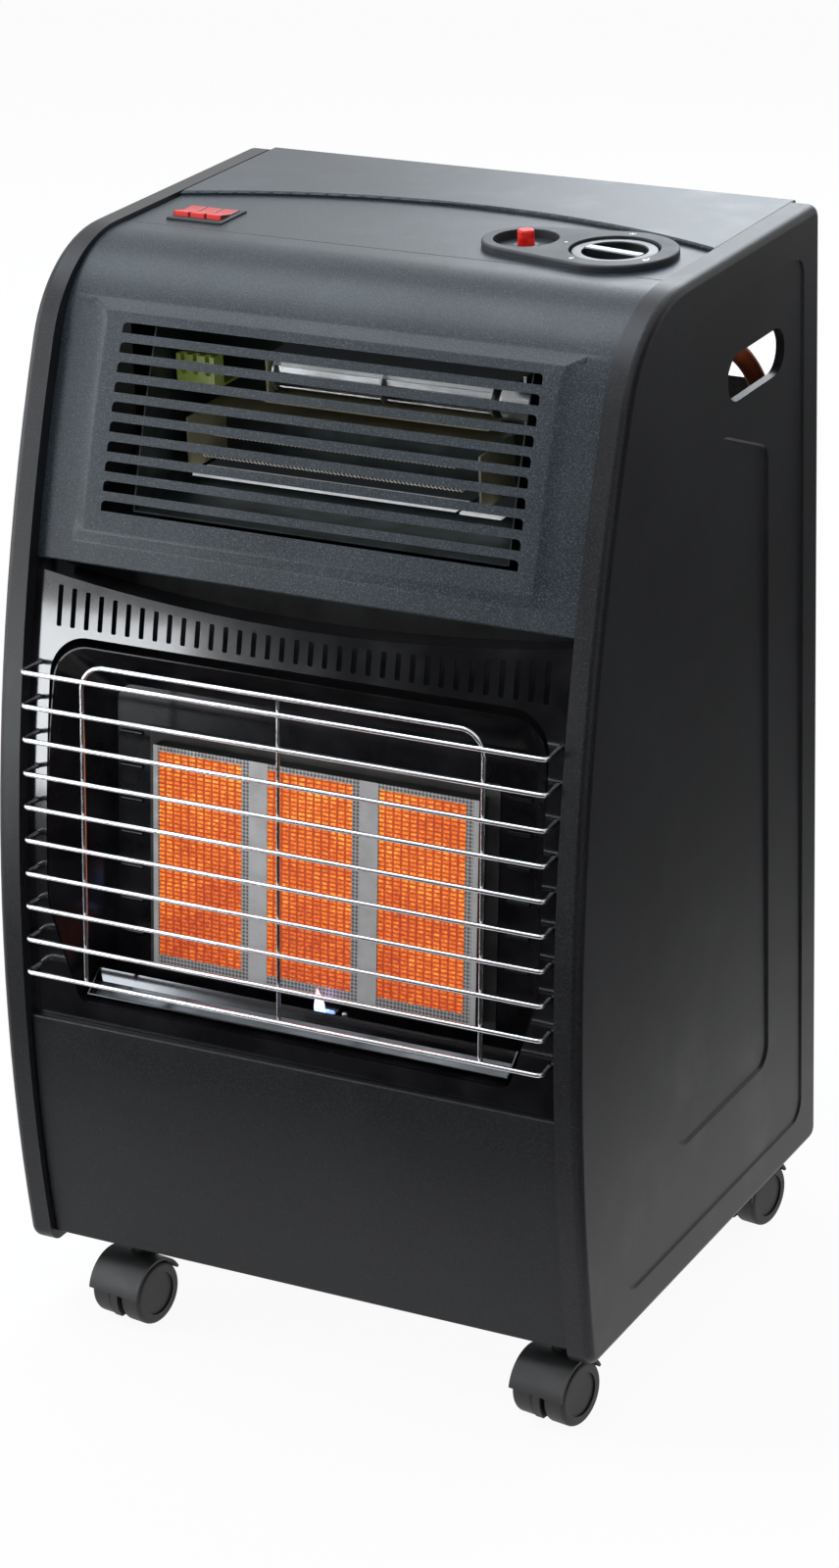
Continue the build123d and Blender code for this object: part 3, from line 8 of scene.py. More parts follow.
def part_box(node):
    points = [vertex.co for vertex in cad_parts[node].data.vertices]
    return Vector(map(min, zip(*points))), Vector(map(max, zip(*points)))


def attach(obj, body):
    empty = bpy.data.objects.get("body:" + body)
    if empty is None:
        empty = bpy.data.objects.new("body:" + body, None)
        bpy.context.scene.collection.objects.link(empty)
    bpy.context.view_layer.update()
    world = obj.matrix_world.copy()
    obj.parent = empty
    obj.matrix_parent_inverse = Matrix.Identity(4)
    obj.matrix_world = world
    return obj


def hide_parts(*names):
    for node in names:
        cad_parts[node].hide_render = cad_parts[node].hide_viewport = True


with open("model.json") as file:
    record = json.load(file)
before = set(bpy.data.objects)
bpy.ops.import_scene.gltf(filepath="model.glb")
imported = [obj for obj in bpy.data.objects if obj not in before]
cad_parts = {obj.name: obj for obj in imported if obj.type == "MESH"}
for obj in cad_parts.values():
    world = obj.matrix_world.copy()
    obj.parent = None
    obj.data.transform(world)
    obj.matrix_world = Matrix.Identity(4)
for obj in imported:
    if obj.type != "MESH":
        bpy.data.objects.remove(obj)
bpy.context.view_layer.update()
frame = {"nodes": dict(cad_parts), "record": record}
record = frame["record"]

mm = 0.001

# Camera, fitted to the cabinet's edges in the photograph
view = {
    "azimuth": radians(28.561),
    "elevation": radians(22.346),
    "roll": radians(-1.869),
    "place": (1.2821, -2.3436, 1.4551),
    "lens": 99.53,
    "farthest": 60,
}


def makeCamera():
    side, lift, roll = view["azimuth"], view["elevation"], view["roll"]
    back = Vector((sin(side) * cos(lift), -cos(side) * cos(lift), sin(lift)))
    level = Vector((cos(side), sin(side), 0))
    upright = back.cross(level)
    right = level * cos(roll) + upright * sin(roll)
    up = upright * cos(roll) - level * sin(roll)
    data = bpy.data.cameras.new("camera")
    data.lens = view["lens"]
    data.clip_end = view["farthest"]
    camera = bpy.data.objects.new("camera", data)
    turn = Matrix((right, up, back)).transposed().to_4x4()
    camera.matrix_world = Matrix.Translation(view["place"]) @ turn
    bpy.context.collection.objects.link(camera)
    bpy.context.scene.camera = camera


makeCamera()
print("camera made")


# Shader building


class Signal:
    # One output socket; sums and products of signals become Math nodes
    def __init__(self, shader, socket):
        self.shader = shader
        self.socket = socket

    def maths(self, operation, *others):
        inputs = dict(enumerate((self, *others)))
        return self.shader.node("ShaderNodeMath", inputs, operation=operation)

    def __add__(self, other):
        return self.maths("ADD", other)

    def __sub__(self, other):
        return self.maths("SUBTRACT", other)

    def __mul__(self, other):
        return self.maths("MULTIPLY", other)

    def __truediv__(self, other):
        return self.maths("DIVIDE", other)

    def __radd__(self, other):
        return self + other

    def __rsub__(self, other):
        return self * -1 + other

    def __rmul__(self, other):
        return self * other

    def step(self, low, high):
        # 0 below low, 1 above high
        return ((self - low) / (high - low)).maths("MAXIMUM", 0).maths("MINIMUM", 1)

    def wave(self, pitch):
        # 0 in the middle of each cell, 1 at its edges
        return ((self / pitch).maths("FRACT") - 0.5).maths("ABSOLUTE") * 2


class Shader:
    def __init__(self, name, **constants):
        self.material = bpy.data.materials.new(name)
        self.material.use_nodes = True
        self.tree = self.material.node_tree
        self.surface = self.tree.nodes["Principled BSDF"]
        for key, value in constants.items():
            self.surface.inputs[key.replace("_", " ")].default_value = value

    def feed(self, place, value):
        if isinstance(value, Signal):
            self.tree.links.new(value.socket, place)
        else:
            place.default_value = value

    def node(self, kind, inputs, output=0, **settings):
        made = self.tree.nodes.new(kind)
        for key, value in settings.items():
            setattr(made, key, value)
        for key, value in inputs.items():
            self.feed(made.inputs[key], value)
        return Signal(self, made.outputs[output])

    def place(self):
        return self.node("ShaderNodeTexCoord", {}, "Object")

    def axes(self, spot):
        made = self.node("ShaderNodeSeparateXYZ", {"Vector": spot}).socket.node
        return [Signal(self, out) for out in made.outputs]

    def stretched(self, x, y, z):
        inputs = {"Vector": self.place(), "Scale": (x, y, z)}
        return self.node("ShaderNodeMapping", inputs)

    def noise(self, scale, detail=3.0, spot=None):
        inputs = {"Vector": spot or self.place(), "Scale": scale, "Detail": detail, "Roughness": 0.55}
        return self.node("ShaderNodeTexNoise", inputs)

    def cells(self, scale, feature="F1", output="Distance"):
        inputs = {"Vector": self.place(), "Scale": scale}
        return self.node("ShaderNodeTexVoronoi", inputs, output, feature=feature)

    def blend(self, factor, first, second):
        # Sockets 6 and 7 take the two colours, and output 2 gives their mix
        inputs = {"Factor": factor}
        for key, value in ((6, first), (7, second)):
            inputs[key] = (*value, 1) if isinstance(value, tuple) else value
        return self.node("ShaderNodeMix", inputs, 2, data_type="RGBA")

    def bump(self, height, depth, strength=1.0):
        return self.node("ShaderNodeBump", {"Height": height, "Distance": depth, "Strength": strength})

    def put(self, **inputs):
        for key, value in inputs.items():
            self.feed(self.surface.inputs[key.replace("_", " ")], value)
        return self.material

    def show(self, surface):
        # Another surface in place of the plain one
        self.feed(self.tree.nodes["Material Output"].inputs["Surface"], surface)
        return self.material


# Materials


def powderCoat(name, dark, light, roughness, grain):
    shader = Shader(name, Specular_IOR_Level=0.32)
    speckle = shader.noise(1250, 2.0).step(0.5, 0.72)
    cloud = shader.noise(9, 3.0).step(0.35, 0.65)
    colour = shader.blend(speckle * 0.75 + cloud * 0.12, dark, light)
    orangePeel = shader.noise(700, 2.0) + shader.noise(2200, 1.0) * 0.4
    rubbed = shader.noise(26, 5.0).step(0.5, 0.75)
    return shader.put(
        Base_Color=colour,
        Roughness=roughness + speckle * 0.1 - rubbed * 0.05,
        Normal=shader.bump(orangePeel, grain),
    )


def glossEnamel(name, specular, coat):
    shader = Shader(name, Specular_IOR_Level=specular, Coat_Weight=coat, Coat_Roughness=0.08)
    depth = shader.noise(30, 4.0).step(0.4, 0.7)
    dust = shader.noise(1400, 1.0).step(0.66, 0.74)
    ripple = shader.noise(45, 2.0)
    colour = shader.blend(depth * 0.5 + dust * 0.5, (0.004, 0.004, 0.005), (0.02, 0.02, 0.024))
    return shader.put(
        Base_Color=colour,
        Roughness=0.15 + depth * 0.03 + dust * 0.05,
        Normal=shader.bump(ripple, 0.1 * mm, 0.4),
    )


def brightWire():
    shader = Shader("brightWire", Metallic=1.0)
    heat = shader.noise(38, 3.0).step(0.45, 0.7)
    pits = shader.noise(1800, 2.0)
    colour = shader.blend(heat, (0.72, 0.74, 0.77), (0.5, 0.48, 0.5))
    return shader.put(
        Base_Color=colour,
        Roughness=0.14 + heat * 0.12 + pits * 0.08,
        Normal=shader.bump(pits, 0.04 * mm, 0.5),
    )


def drawnSteel(name, pale, stained, roughness, along=(30, 900, 900)):
    shader = Shader(name, Metallic=1.0)
    lines = shader.noise(1, 3.0, shader.stretched(*along))
    stain = shader.noise(16, 4.0).step(0.42, 0.7)
    colour = shader.blend(stain * 0.7, pale, stained)
    return shader.put(
        Base_Color=colour,
        Roughness=roughness + lines * 0.08 + stain * 0.08,
        Normal=shader.bump(lines, 0.01 * mm, 0.4),
    )


def spangledSteel():
    shader = Shader("spangledSteel", Metallic=0.85)
    flake = shader.cells(110, output="Color")
    tone = shader.axes(flake)[0]
    dull = shader.noise(24, 4.0).step(0.4, 0.75)
    colour = shader.blend(tone * 0.6 + dull * 0.3, (0.52, 0.54, 0.56), (0.3, 0.31, 0.33))
    return shader.put(
        Base_Color=colour,
        Roughness=0.3 + tone * 0.16 + dull * 0.12,
        Normal=shader.bump(tone, 0.03 * mm, 0.4),
    )


def burnerSteel():
    # Fine perforation beside each plaque, plain bars between them; the holes are painted dark as painted
    # shade
    sizes = {"plaquePitch": 81.3 * mm, "bar": 6.2 * mm, "hole": 2.6 * mm}
    shader = Shader("burnerSteel", Metallic=0.35)
    x, _, z = shader.axes(shader.place())
    holes = x.wave(sizes["hole"]).maths("POWER", 2) + z.wave(sizes["hole"]).maths("POWER", 2)
    across = (x / sizes["plaquePitch"]).maths("FRACT") - 0.5
    nearBar = (across.maths("ABSOLUTE") * sizes["plaquePitch"]).step(sizes["bar"], sizes["bar"] + 1 * mm)
    pierced = (1 - holes.step(0.5, 0.75)) * nearBar
    soot = shader.noise(60, 4.0).step(0.4, 0.75)
    colour = shader.blend(soot * 0.5, (0.46, 0.46, 0.47), (0.28, 0.27, 0.25))
    # painted shade inside the holes
    colour = shader.blend(pierced * 0.75, colour, (0.04, 0.035, 0.03))
    return shader.put(
        Base_Color=colour,
        Roughness=0.42 + soot * 0.2,
        Normal=shader.bump(1 - pierced, 0.4 * mm),
    )


def glowingCeramic():
    # Rows of small cells, each with its own heat, brightest near the top
    sizes = {"wide": 5.8 * mm, "high": 2.9 * mm, "low": 266 * mm, "tall": 148 * mm}
    shader = Shader("glowingCeramic", Roughness=0.9, Emission_Strength=1.0)
    x, _, z = shader.axes(shader.place())
    column, row = x.wave(sizes["wide"]), z.wave(sizes["high"])
    border = column.step(0.6, 0.85).maths("MAXIMUM", row.step(0.45, 0.8))
    flicker = shader.noise(420, 2.0).step(0.35, 0.7)
    drift = shader.noise(22, 3.0).step(0.35, 0.7)
    height = ((z - sizes["low"]) / sizes["tall"]).step(0, 1)
    heat = (flicker * 0.45 + drift * 0.3 + height * 0.25) * (1 - border * 0.75)
    deep = shader.blend(heat.step(0.05, 0.5), (0.32, 0.026, 0.004), (0.82, 0.18, 0.014))
    glow = shader.blend(heat.step(0.5, 0.78), deep, (1.0, 0.56, 0.08))
    return shader.put(
        Base_Color=shader.blend(border, (0.3, 0.05, 0.02), (0.12, 0.02, 0.01)),
        Emission_Color=glow,
        Normal=shader.bump(1 - border, 0.5 * mm),
    )


def plainMetal(name, colour, worn, roughness, metallic=1.0, grain=900):
    shader = Shader(name, Metallic=metallic)
    wear = shader.noise(40, 4.0).step(0.4, 0.7)
    fine = shader.noise(grain, 2.0)
    return shader.put(
        Base_Color=shader.blend(wear, colour, worn),
        Roughness=roughness + wear * 0.12 + fine * 0.06,
        Normal=shader.bump(fine, 0.06 * mm, 0.5),
    )


def moulded(name, colour, paler, roughness, grain=1600, depth=0.05, coat=0.0):
    shader = Shader(name, Coat_Weight=coat, Coat_Roughness=0.1)
    mottle = shader.noise(50, 4.0).step(0.4, 0.75)
    fine = shader.noise(grain, 2.0)
    return shader.put(
        Base_Color=shader.blend(mottle * 0.6 + fine * 0.2, colour, paler),
        Roughness=roughness + mottle * 0.1,
        Normal=shader.bump(fine, depth * mm, 0.6),
    )


def redLens():
    # The igniter's button, with a faint painted glow for light through its red plastic
    shader = Shader("redLens", Specular_IOR_Level=0.3)
    mottle = shader.noise(180, 3.0).step(0.4, 0.7)
    colour = shader.blend(mottle, (0.55, 0.008, 0.006), (0.72, 0.03, 0.02))
    ribs = shader.axes(shader.place())[1].wave(1.6 * mm).step(0.55, 0.9)
    return shader.put(
        Base_Color=colour,
        # painted glow: emission standing for light through the plastic
        Emission_Color=shader.blend(mottle, (0.16, 0.003, 0.002), (0.3, 0.012, 0.008)),
        Emission_Strength=0.5,
        Roughness=0.34 + mottle * 0.1,
        Normal=shader.bump(ribs, 0.1 * mm, 0.4),
    )


def hoseRubber():
    shader = Shader("hoseRubber", Specular_IOR_Level=0.4)
    weave = shader.cells(900, "DISTANCE_TO_EDGE")
    grime = shader.noise(30, 4.0).step(0.45, 0.75)
    colour = shader.blend(grime, (0.62, 0.14, 0.05), (0.3, 0.06, 0.03))
    return shader.put(
        Base_Color=colour,
        Roughness=0.45 + grime * 0.2,
        Normal=shader.bump(weave, 0.15 * mm, 0.5),
    )


def litStrip():
    # Bright strips in the duct with a painted glow, darkened from their edge inwards by painted shade
    sizes = {"edge": -41 * mm, "inside": -38 * mm}
    shader = Shader("litStrip", Metallic=0.5, Emission_Strength=0.45)
    wear = shader.noise(60, 4.0).step(0.35, 0.7)
    lines = shader.noise(1, 3.0, shader.stretched(40, 900, 900))
    colour = shader.blend(wear, (0.88, 0.9, 0.92), (0.6, 0.62, 0.66))
    inside = shader.axes(shader.place())[1].step(sizes["edge"], sizes["inside"])
    # painted shade: the strip turns dark further inside the duct
    colour = shader.blend(inside, colour, (0.02, 0.022, 0.025))
    return shader.put(
        Base_Color=colour,
        Emission_Color=colour,
        Roughness=0.28 + lines * 0.15,
        Normal=shader.bump(lines, 0.05 * mm, 0.4),
    )


def coilWire():
    # Drawn wire; a painted highlight glows on its front side, standing for the light it catches there
    sizes = {"shade": -50 * mm, "light": -53 * mm}
    shader = Shader("coilWire", Metallic=0.6, Emission_Strength=0.16)
    heat = shader.noise(60, 3.0).step(0.35, 0.7)
    front = shader.axes(shader.place())[1].step(sizes["shade"], sizes["light"])
    colour = shader.blend(heat, (0.75, 0.73, 0.68), (0.5, 0.46, 0.4))
    return shader.put(
        Base_Color=colour,
        # painted highlight: the glow is dark at the back and bright at the front
        Emission_Color=shader.blend(front, (0.02, 0.02, 0.02), colour),
        Roughness=0.25 + heat * 0.15,
    )


def flameGlow():
    # Blue at the foot, pink and thinner toward the tip
    sizes = {"foot": 259 * mm, "tall": 16 * mm}
    shader = Shader("flameGlow")
    z = shader.axes(shader.place())[2]
    rise = ((z - sizes["foot"]) / sizes["tall"]).step(0, 1)
    lick = shader.noise(240, 2.0) * 0.15
    colour = shader.blend(rise + lick, (0.16, 0.4, 1.0), (1.0, 0.3, 0.22))
    light = shader.node("ShaderNodeEmission", {"Color": colour, "Strength": 5.0})
    clear = shader.node("ShaderNodeBsdfTransparent", {})
    thin = rise * 0.5 + lick + 0.15
    return shader.show(shader.node("ShaderNodeMixShader", {0: thin, 1: light, 2: clear}))


def rockerLens():
    # Darker along each rocker's sides, painted shade in the gaps between them; paler at its front end, a
    # painted highlight; the glow follows both
    sizes = {"side": 1.1 * mm}
    left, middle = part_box("rocker_left"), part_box("rocker_centre")
    pitch = middle[0].x - left[0].x
    gap = middle[0].x - left[1].x
    shader = Shader("rockerLens", Specular_IOR_Level=0.4, Emission_Strength=0.25)
    x, y, _ = shader.axes(shader.place())
    # painted shade along each rocker's sides, next to the gaps
    shadedSides = (x - left[0].x + gap / 2).wave(pitch).step(1 - 2 * (gap / 2 + sizes["side"]) / pitch, 0.97)
    # painted highlight toward the front end
    front = ((y - left[0].y) / (left[1].y - left[0].y)).step(0.45, 0.12)
    colour = shader.blend(front, (0.42, 0.005, 0.004), (0.7, 0.035, 0.028))
    colour = shader.blend(shadedSides, colour, (0.02, 0.001, 0.001))
    mottle = shader.noise(220, 3.0)
    return shader.put(
        Base_Color=colour,
        Emission_Color=colour,
        Roughness=0.28 + mottle * 0.12,
        Normal=shader.bump(1 - shadedSides, 0.25 * mm),
    )


finishes = {
    "panel_paint": powderCoat("panelPaint", (0.011, 0.016, 0.021), (0.1, 0.13, 0.158), 0.37, 0.05 * mm),
    "side_paint": powderCoat("sidePaint", (0.006, 0.006, 0.0075), (0.035, 0.037, 0.044), 0.4, 0.06 * mm),
    "enamel": glossEnamel("glossEnamel", 0.16, 0.05),
    "chrome_wire": brightWire(),
    "polished_steel": drawnSteel("polishedSteel", (0.72, 0.73, 0.75), (0.5, 0.46, 0.43), 0.03),
    "galvanised": spangledSteel(),
    "ceramic": glowingCeramic(),
    "brass": plainMetal("brass", (0.72, 0.5, 0.22), (0.5, 0.33, 0.15), 0.24),
    "gloss_plastic": moulded("glossPlastic", (0.016, 0.019, 0.024), (0.045, 0.052, 0.06), 0.5),
    "pale_inlay": moulded("paleInlay", (0.72, 0.75, 0.78), (0.6, 0.63, 0.66), 0.3),
    "red_plastic": redLens(),
    "orange_rubber": hoseRubber(),
    "cast_zinc": plainMetal("castZinc", (0.5, 0.5, 0.51), (0.36, 0.36, 0.37), 0.42, grain=400),
    "zinc": plainMetal("zinc", (0.6, 0.61, 0.62), (0.44, 0.44, 0.43), 0.28),
    "black_plastic": moulded("blackPlastic", (0.012, 0.012, 0.014), (0.035, 0.035, 0.038), 0.45),
    "element_wire": coilWire(),
    "mica": moulded("mica", (0.3, 0.28, 0.17), (0.45, 0.42, 0.28), 0.5, grain=500),
    "green_plastic": moulded("greenPlastic", (0.42, 0.55, 0.1), (0.55, 0.66, 0.2), 0.4),
    "white_ceramic": moulded("whiteCeramic", (0.8, 0.79, 0.74), (0.66, 0.63, 0.56), 0.25),
    "wheel_plastic": moulded("wheelPlastic", (0.003, 0.003, 0.0036), (0.012, 0.012, 0.014), 0.5, depth=0.08),
}

rockerFinish = rockerLens()
ownFinish = {
    "burner_box": plainMetal("sootSteel", (0.035, 0.034, 0.033), (0.012, 0.012, 0.012), 0.5, 0.2),
    # painted shade: the heat shield is painted near black for the dark gap it fills
    "heat_shield": plainMetal("shieldSteel", (0.03, 0.03, 0.032), (0.014, 0.014, 0.014), 0.55, 0.2),
    # painted shade: the duct steel is painted near black for the unlit inside of the duct
    "fan_housing": plainMetal("ductSteel", (0.035, 0.048, 0.05), (0.015, 0.02, 0.022), 0.4, 0.4),
    "surround_plate": glossEnamel("plateEnamel", 0.5, 0.7),
    "rocker_left": rockerFinish,
    "rocker_centre": rockerFinish,
    "rocker_right": rockerFinish,
    # painted shade: the lower panel takes a darker copy of the panel paint
    "lower_front_panel": powderCoat(
        "lowerPaint", (0.0035, 0.004, 0.0055), (0.024, 0.026, 0.032), 0.4, 0.05 * mm
    ),
    "burner_frame": burnerSteel(),
    "bright_strips": litStrip(),
    # painted shade: the polished deflector's metal is painted near black for the dark cavity it mirrors
    "bottom_deflector": drawnSteel("deflectorSteel", (0.06, 0.062, 0.066), (0.035, 0.035, 0.035), 0.05),
    "gas_knob": moulded("knobPlastic", (0.01, 0.011, 0.013), (0.03, 0.032, 0.036), 0.3),
}
print("materials made:", len(finishes) + len(set(ownFinish.values())))


# Pieces

bodyOf = {node: body for body, nodes in record["behaviour"]["bodies"].items() for node in nodes}
slotOf = {row["node"]: row["material_slot"] for row in record["subparts"]}


def camel(node):
    first, *rest = node.split("_")
    return first + "".join(word.capitalize() for word in rest)


def select(piece):
    bpy.ops.object.select_all(action="DESELECT")
    piece.select_set(True)
    bpy.context.view_layer.objects.active = piece


def fresh(add, **settings):
    # Adds one object by its operator and returns it
    bpy.ops.object.select_all(action="DESELECT")
    add(**settings)
    return bpy.context.active_object


def addPiece(name, data):
    piece = bpy.data.objects.new(name, data)
    bpy.context.collection.objects.link(piece)
    select(piece)
    return piece


def settle(piece, body, slot, material=None):
    piece.data.materials.clear()
    piece.data.materials.append(material or finishes[slot])
    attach(piece, body)


def smooth(piece, angle=32):
    select(piece)
    bpy.ops.object.shade_smooth_by_angle(angle=radians(angle))


weldGap = 0.002 * mm


def finishNode(node):
    # A merged, smooth-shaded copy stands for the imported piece
    piece = addPiece(camel(node), frame["nodes"][node].data.copy())
    bpy.ops.mesh.customdata_custom_splitnormals_clear()
    bpy.ops.object.mode_set(mode="EDIT")
    bpy.ops.mesh.select_all(action="SELECT")
    bpy.ops.mesh.remove_doubles(threshold=weldGap)
    bpy.ops.object.mode_set(mode="OBJECT")
    smooth(piece)
    even = piece.modifiers.new("even", "WEIGHTED_NORMAL")
    even.keep_sharp = True
    bpy.ops.object.modifier_apply(modifier=even.name)
    settle(piece, bodyOf[node], slotOf[node], ownFinish.get(node))
    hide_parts(node)
    return piece


modelledHere = ("gas_hose", "heater_coils")
shown = {node: finishNode(node) for node in frame["nodes"] if node not in modelledHere}
print("packed pieces finished:", len(shown))


# Gas hose, from the valve down to the regulator

hose = {
    "radius": 6.5 * mm,
    "length": 0.4196,
    "route": [
        (0.160, 0.073, 0.654),
        (0.1678, 0.108, 0.654),
        (0.175, 0.1348, 0.6425),
        (0.1805, 0.1553, 0.6213),
        (0.1835, 0.1664, 0.5936),
        (0.1832, 0.1678, 0.5615),
        (0.1786, 0.1635, 0.523),
        (0.1725, 0.158, 0.473),
        (0.1672, 0.1554, 0.417),
        (0.165, 0.155, 0.358),
        (0.165, 0.155, 0.300),
    ],
}


def makeHose():
    data = bpy.data.curves.new("gasHose", "CURVE")
    data.dimensions = "3D"
    data.bevel_depth = hose["radius"]
    data.bevel_resolution = 6
    data.resolution_u = 16
    spline = data.splines.new("NURBS")
    spline.points.add(len(hose["route"]) - 1)
    for point, place in zip(spline.points, hose["route"]):
        point.co = (*place, 1)
    spline.order_u = 3
    spline.use_endpoint_u = True
    piece = addPiece("gasHose", data)
    settle(piece, bodyOf["gas_hose"], "orange_rubber")
    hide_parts("gas_hose")


makeHose()


# Heating coils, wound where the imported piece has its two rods

coil = {
    "wire": 0.5 * mm,
    "radius": 2.5 * mm,
    "pitch": 2.9 * mm,
    "points": 10,
    "ends": [(-0.109, 0.067), (-0.118, 0.072)],  # upper coil, lower coil
}


def makeCoils():
    low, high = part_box("heater_coils")
    line = (low.y + high.y) / 2
    reach = coil["radius"] + coil["wire"]
    levels = (high.z - reach, low.z + reach)
    data = bpy.data.curves.new("heaterCoils", "CURVE")
    data.dimensions = "3D"
    data.bevel_depth = coil["wire"]
    data.bevel_resolution = 1
    for (left, right), level in zip(coil["ends"], levels):
        turns = int((right - left) / coil["pitch"])
        count = turns * coil["points"]
        winding = [(low.x, line, level)]
        for step in range(count + 1):
            angle = 2 * pi * step / coil["points"]
            x = left + (right - left) * step / count
            winding.append((x, line + coil["radius"] * cos(angle), level + coil["radius"] * sin(angle)))
        winding.append((high.x, line, level))
        spline = data.splines.new("POLY")
        spline.points.add(len(winding) - 1)
        for point, place in zip(spline.points, winding):
            point.co = (*place, 1)
    piece = addPiece("heaterCoils", data)
    bpy.ops.object.convert(target="MESH")
    piece = bpy.context.active_object
    smooth(piece, 60)
    settle(piece, bodyOf["heater_coils"], "element_wire")
    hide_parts("heater_coils")


makeCoils()
print("hose and coils made")


# Pilot flame

flame = {
    "wide": 9 * mm,
    "tall": 25 * mm,
    "lean": 3 * mm,
    "aside": 6 * mm,
    "back": 1 * mm,
    "sunk": 6 * mm,
    "taper": 0.85,
    "curve": 1.6,
}


def makeFlame():
    low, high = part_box("pilot_burner")
    middle = (low + high) / 2
    base = Vector((middle.x - flame["aside"], low.y + flame["back"], high.z - flame["sunk"]))
    add = bpy.ops.mesh.primitive_uv_sphere_add
    piece = fresh(add, segments=24, ring_count=16, radius=flame["wide"] / 2, location=base)
    piece.name = "pilotFlame"
    bpy.ops.object.transform_apply(location=True, rotation=True, scale=True)
    for vertex in piece.data.vertices:
        lift = max(0.0, (vertex.co.z - base.z) / flame["wide"] + 0.5)
        taper = 1 - flame["taper"] * lift ** flame["curve"]
        vertex.co.x = base.x + (vertex.co.x - base.x) * taper
        vertex.co.y = base.y + (vertex.co.y - base.y) * taper - flame["lean"] * lift**2
        vertex.co.z = base.z + lift * flame["tall"] - flame["wide"] / 2
    smooth(piece, 80)
    settle(piece, "cabinet", "brass", flameGlow())


makeFlame()


# Marks round the dial: off, spark, low and high flame

marks = {
    "ring": 34.6 * mm,
    "thick": 0.12 * mm,
    "dot": 1.1 * mm,
    "spark": 5 * mm,
    "stroke": 0.6 * mm,
    "lowFlame": 1.5 * mm,
    "highFlame": 2.1 * mm,
    "tip": 1.15,
    "flameTurn": radians(80),
    "places": {"off": 177, "spark": 96, "lowFlame": 244, "highFlame": 329},  # degrees round the dial
}


def disc(radius, spot, points=20, turn=0.0):
    add = bpy.ops.mesh.primitive_cylinder_add
    thick = marks["thick"]
    return fresh(add, vertices=points, radius=radius, depth=thick, location=spot, rotation=(0, 0, turn))


def bar(length, width, spot, turn):
    made = fresh(bpy.ops.mesh.primitive_cube_add, size=1, location=spot, rotation=(0, 0, turn))
    made.scale = (length, width, marks["thick"])
    return made


def flameMark(radius, spot, turn):
    # A round foot with a pointed tip
    tipSpot = spot + Vector((cos(turn), sin(turn), 0)) * radius
    return [disc(radius, spot), disc(radius * marks["tip"], tipSpot, 3, turn - pi / 2)]


def makeMarks():
    low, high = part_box("gas_knob")
    centre = (low + high) / 2
    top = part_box("control_plate")[1].z

    def at(mark):
        angle = radians(marks["places"][mark])
        return Vector((centre.x, centre.y, top)) + Vector((cos(angle), sin(angle), 0)) * marks["ring"]

    made = [disc(marks["dot"], at("off"))]
    made += [bar(marks["spark"], marks["stroke"], at("spark"), radians(turn)) for turn in (0, 60, 120)]
    for size in ("lowFlame", "highFlame"):
        made += flameMark(marks[size], at(size), marks["flameTurn"])
    bpy.ops.object.select_all(action="DESELECT")
    for piece in made:
        piece.select_set(True)
    bpy.context.view_layer.objects.active = made[0]
    bpy.ops.object.join()
    piece = bpy.context.active_object
    piece.name = "dialMarks"
    bpy.ops.object.transform_apply(location=True, rotation=True, scale=True)
    settle(piece, "cabinet", "pale_inlay")


makeMarks()
print("flame and dial marks made")


# Screws of the rear rail

screw = {
    "radius": 3.4 * mm,
    "high": 1.6 * mm,
    "slot": 0.9 * mm,
    "slotReach": 1.3,
    "soft": 0.3 * mm,
    "inset": 22 * mm,
}


def screwHead(name, spot):
    add = bpy.ops.mesh.primitive_cylinder_add
    upright = (pi / 2, 0, 0)
    head = fresh(
        add, vertices=28, radius=screw["radius"], depth=screw["high"], location=spot, rotation=upright
    )
    head.name = name
    bpy.ops.object.transform_apply(location=True, rotation=True, scale=True)
    long, short = screw["radius"] * screw["slotReach"], screw["slot"]
    cutters = []
    for across, tall in ((long, short), (short, long)):
        front = spot + Vector((0, screw["high"] / 2, 0))
        cutters.append(fresh(bpy.ops.mesh.primitive_cube_add, size=1, location=front))
        cutters[-1].scale = (across, screw["high"], tall)
    for cutter in cutters:
        cut = head.modifiers.new("cross", "BOOLEAN")
        cut.operation = "DIFFERENCE"
        cut.object = cutter
        select(head)
        bpy.ops.object.modifier_apply(modifier=cut.name)
        bpy.data.objects.remove(cutter)
    soften = head.modifiers.new("soften", "BEVEL")
    soften.width = screw["soft"]
    soften.segments = 2
    select(head)
    bpy.ops.object.modifier_apply(modifier=soften.name)
    smooth(head, 40)
    settle(head, "cabinet", "zinc")


def makeScrews():
    low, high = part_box("rear_rail")
    middle = (low.z + high.z) / 2
    places = {"Left": low.x + screw["inset"], "Right": high.x - screw["inset"], "Middle": 0}
    for side, x in places.items():
        screwHead("railScrew" + side, Vector((x, high.y + screw["high"] / 2, middle)))


makeScrews()
print("screws made")


# Floor, lamps and the cards that the paint mirrors

studio = {
    "surroundLight": 0.6,
    "surroundSeen": 1.0,  # what the camera and mirrors see of it
    "floorSide": 60,
    "floorGlow": 0.93,
}


def card(name, size, place, tone, turn=(0, 0, 0), glow=0.0):
    made = fresh(bpy.ops.mesh.primitive_plane_add, size=1, location=place, rotation=turn)
    made.name = name
    made.scale = (size[0], size[1], 1)
    shader = Shader(name, Base_Color=(tone, tone, tone, 1), Roughness=1.0, Specular_IOR_Level=0.0)
    shader.put(Emission_Color=(0.94, 0.97, 1.0, 1), Emission_Strength=glow)
    made.data.materials.append(shader.material)
    made.visible_camera = False
    made.visible_diffuse = False
    made.visible_shadow = False


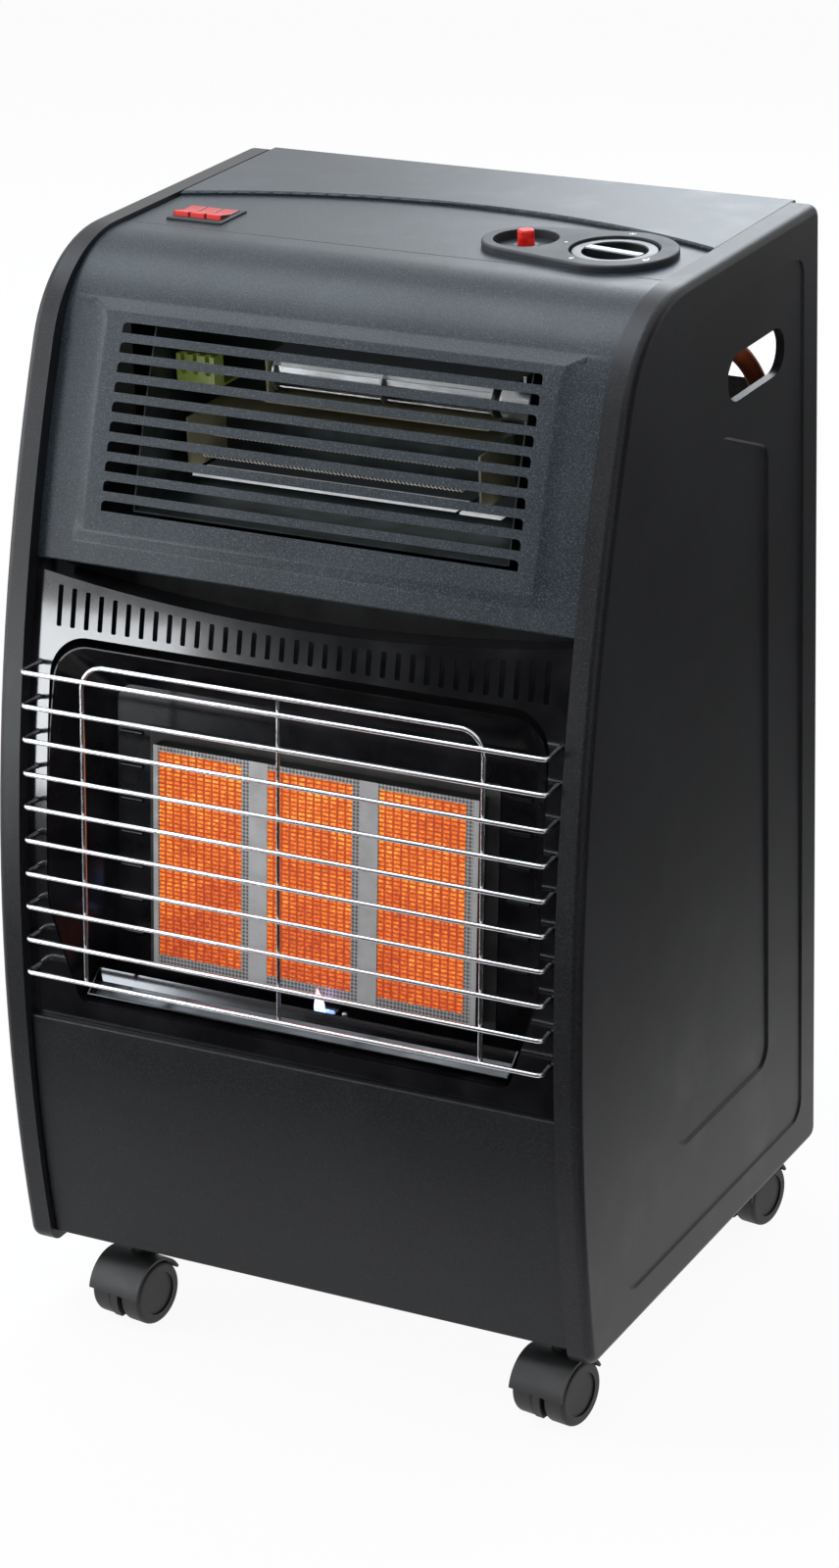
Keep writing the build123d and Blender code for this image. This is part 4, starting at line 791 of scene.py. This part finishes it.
def makeFloor():
    floor = fresh(bpy.ops.mesh.primitive_plane_add, size=studio["floorSide"], location=(0, 0, 0))
    floor.name = "floor"
    shader = Shader("floorWhite", Base_Color=(0.92, 0.92, 0.92, 1), Roughness=1.0, Specular_IOR_Level=0.0)
    seen = shader.node("ShaderNodeLightPath", {}, "Is Camera Ray")
    for kind in ("Is Glossy Ray", "Is Transmission Ray"):
        seen = seen.maths("MAXIMUM", shader.node("ShaderNodeLightPath", {}, kind))
    white = shader.node("ShaderNodeEmission", {"Color": (1, 1, 1, 1), "Strength": 1.0})
    plain = Signal(shader, shader.surface.outputs[0])
    mixed = shader.node("ShaderNodeMixShader", {0: seen * studio["floorGlow"], 1: plain, 2: white})
    floor.data.materials.append(shader.show(mixed))


def makeWorld():
    world = bpy.data.worlds.new("studio")
    bpy.context.scene.world = world
    world.use_nodes = True
    tree = world.node_tree
    back = tree.nodes["Background"]
    back.inputs["Color"].default_value = (1, 1, 1, 1)
    rays = tree.nodes.new("ShaderNodeLightPath")
    seen = rays.outputs["Is Camera Ray"]
    for kind in ("Is Glossy Ray", "Is Transmission Ray"):
        both = tree.nodes.new("ShaderNodeMath")
        both.operation = "MAXIMUM"
        tree.links.new(seen, both.inputs[0])
        tree.links.new(rays.outputs[kind], both.inputs[1])
        seen = both.outputs[0]
    level = tree.nodes.new("ShaderNodeMapRange")
    level.inputs["To Min"].default_value = studio["surroundLight"]
    level.inputs["To Max"].default_value = studio["surroundSeen"]
    tree.links.new(seen, level.inputs["Value"])
    tree.links.new(level.outputs[0], back.inputs["Strength"])


def lamp(name, size, place, aim, watts, colour=(1, 1, 1)):
    data = bpy.data.lights.new(name, "AREA")
    data.shape = "RECTANGLE"
    data.size, data.size_y = size
    data.energy = watts
    data.color = colour
    made = bpy.data.objects.new(name, data)
    made.location = place
    made.rotation_euler = (Vector(aim) - Vector(place)).to_track_quat("-Z", "Y").to_euler()
    made.visible_camera = False
    bpy.context.collection.objects.link(made)


makeFloor()
makeWorld()
lamp("rearSoftbox", (1.7, 1.3), (-0.35, 2.6, 2.0), (0, 0, 0.7), 42, (0.86, 0.93, 1.0))
lamp("overhead", (1.3, 1.2), (-0.85, -0.15, 2.6), (0, 0, 0.5), 26, (0.84, 0.92, 1.0))
lamp("leftStrip", (0.5, 1.7), (-1.9, -0.75, 0.9), (-0.1, -0.1, 0.5), 16)
card("sideFloorCard", (3.0, 3.6), (1.9, 1.2, 0.002), 0.02)
card("sideWallCard", (3.2, 4.5), (3.0, 0.6, 1.6), 0.02, (0, radians(90), 0))
card("frontFloorCard", (5.4, 4.1), (-0.6, -2.5, 0.002), 0.02)
card("silverCard", (0.4, 0.38), (-0.87, -1.135, 0.38), 0.8, (radians(90), 0, radians(-26)), 11.0)
card("leftGlowCard", (0.5, 1.0), (-0.97, -1.09, 1.15), 0.8, (radians(90), 0, radians(-26)), 2.6)
card("frontWallCard", (7.0, 2.6), (0.0, -4.2, 1.3), 0.02, (radians(90), 0, 0))

bpy.context.scene.view_settings.view_transform = "Standard"
print("stage made")
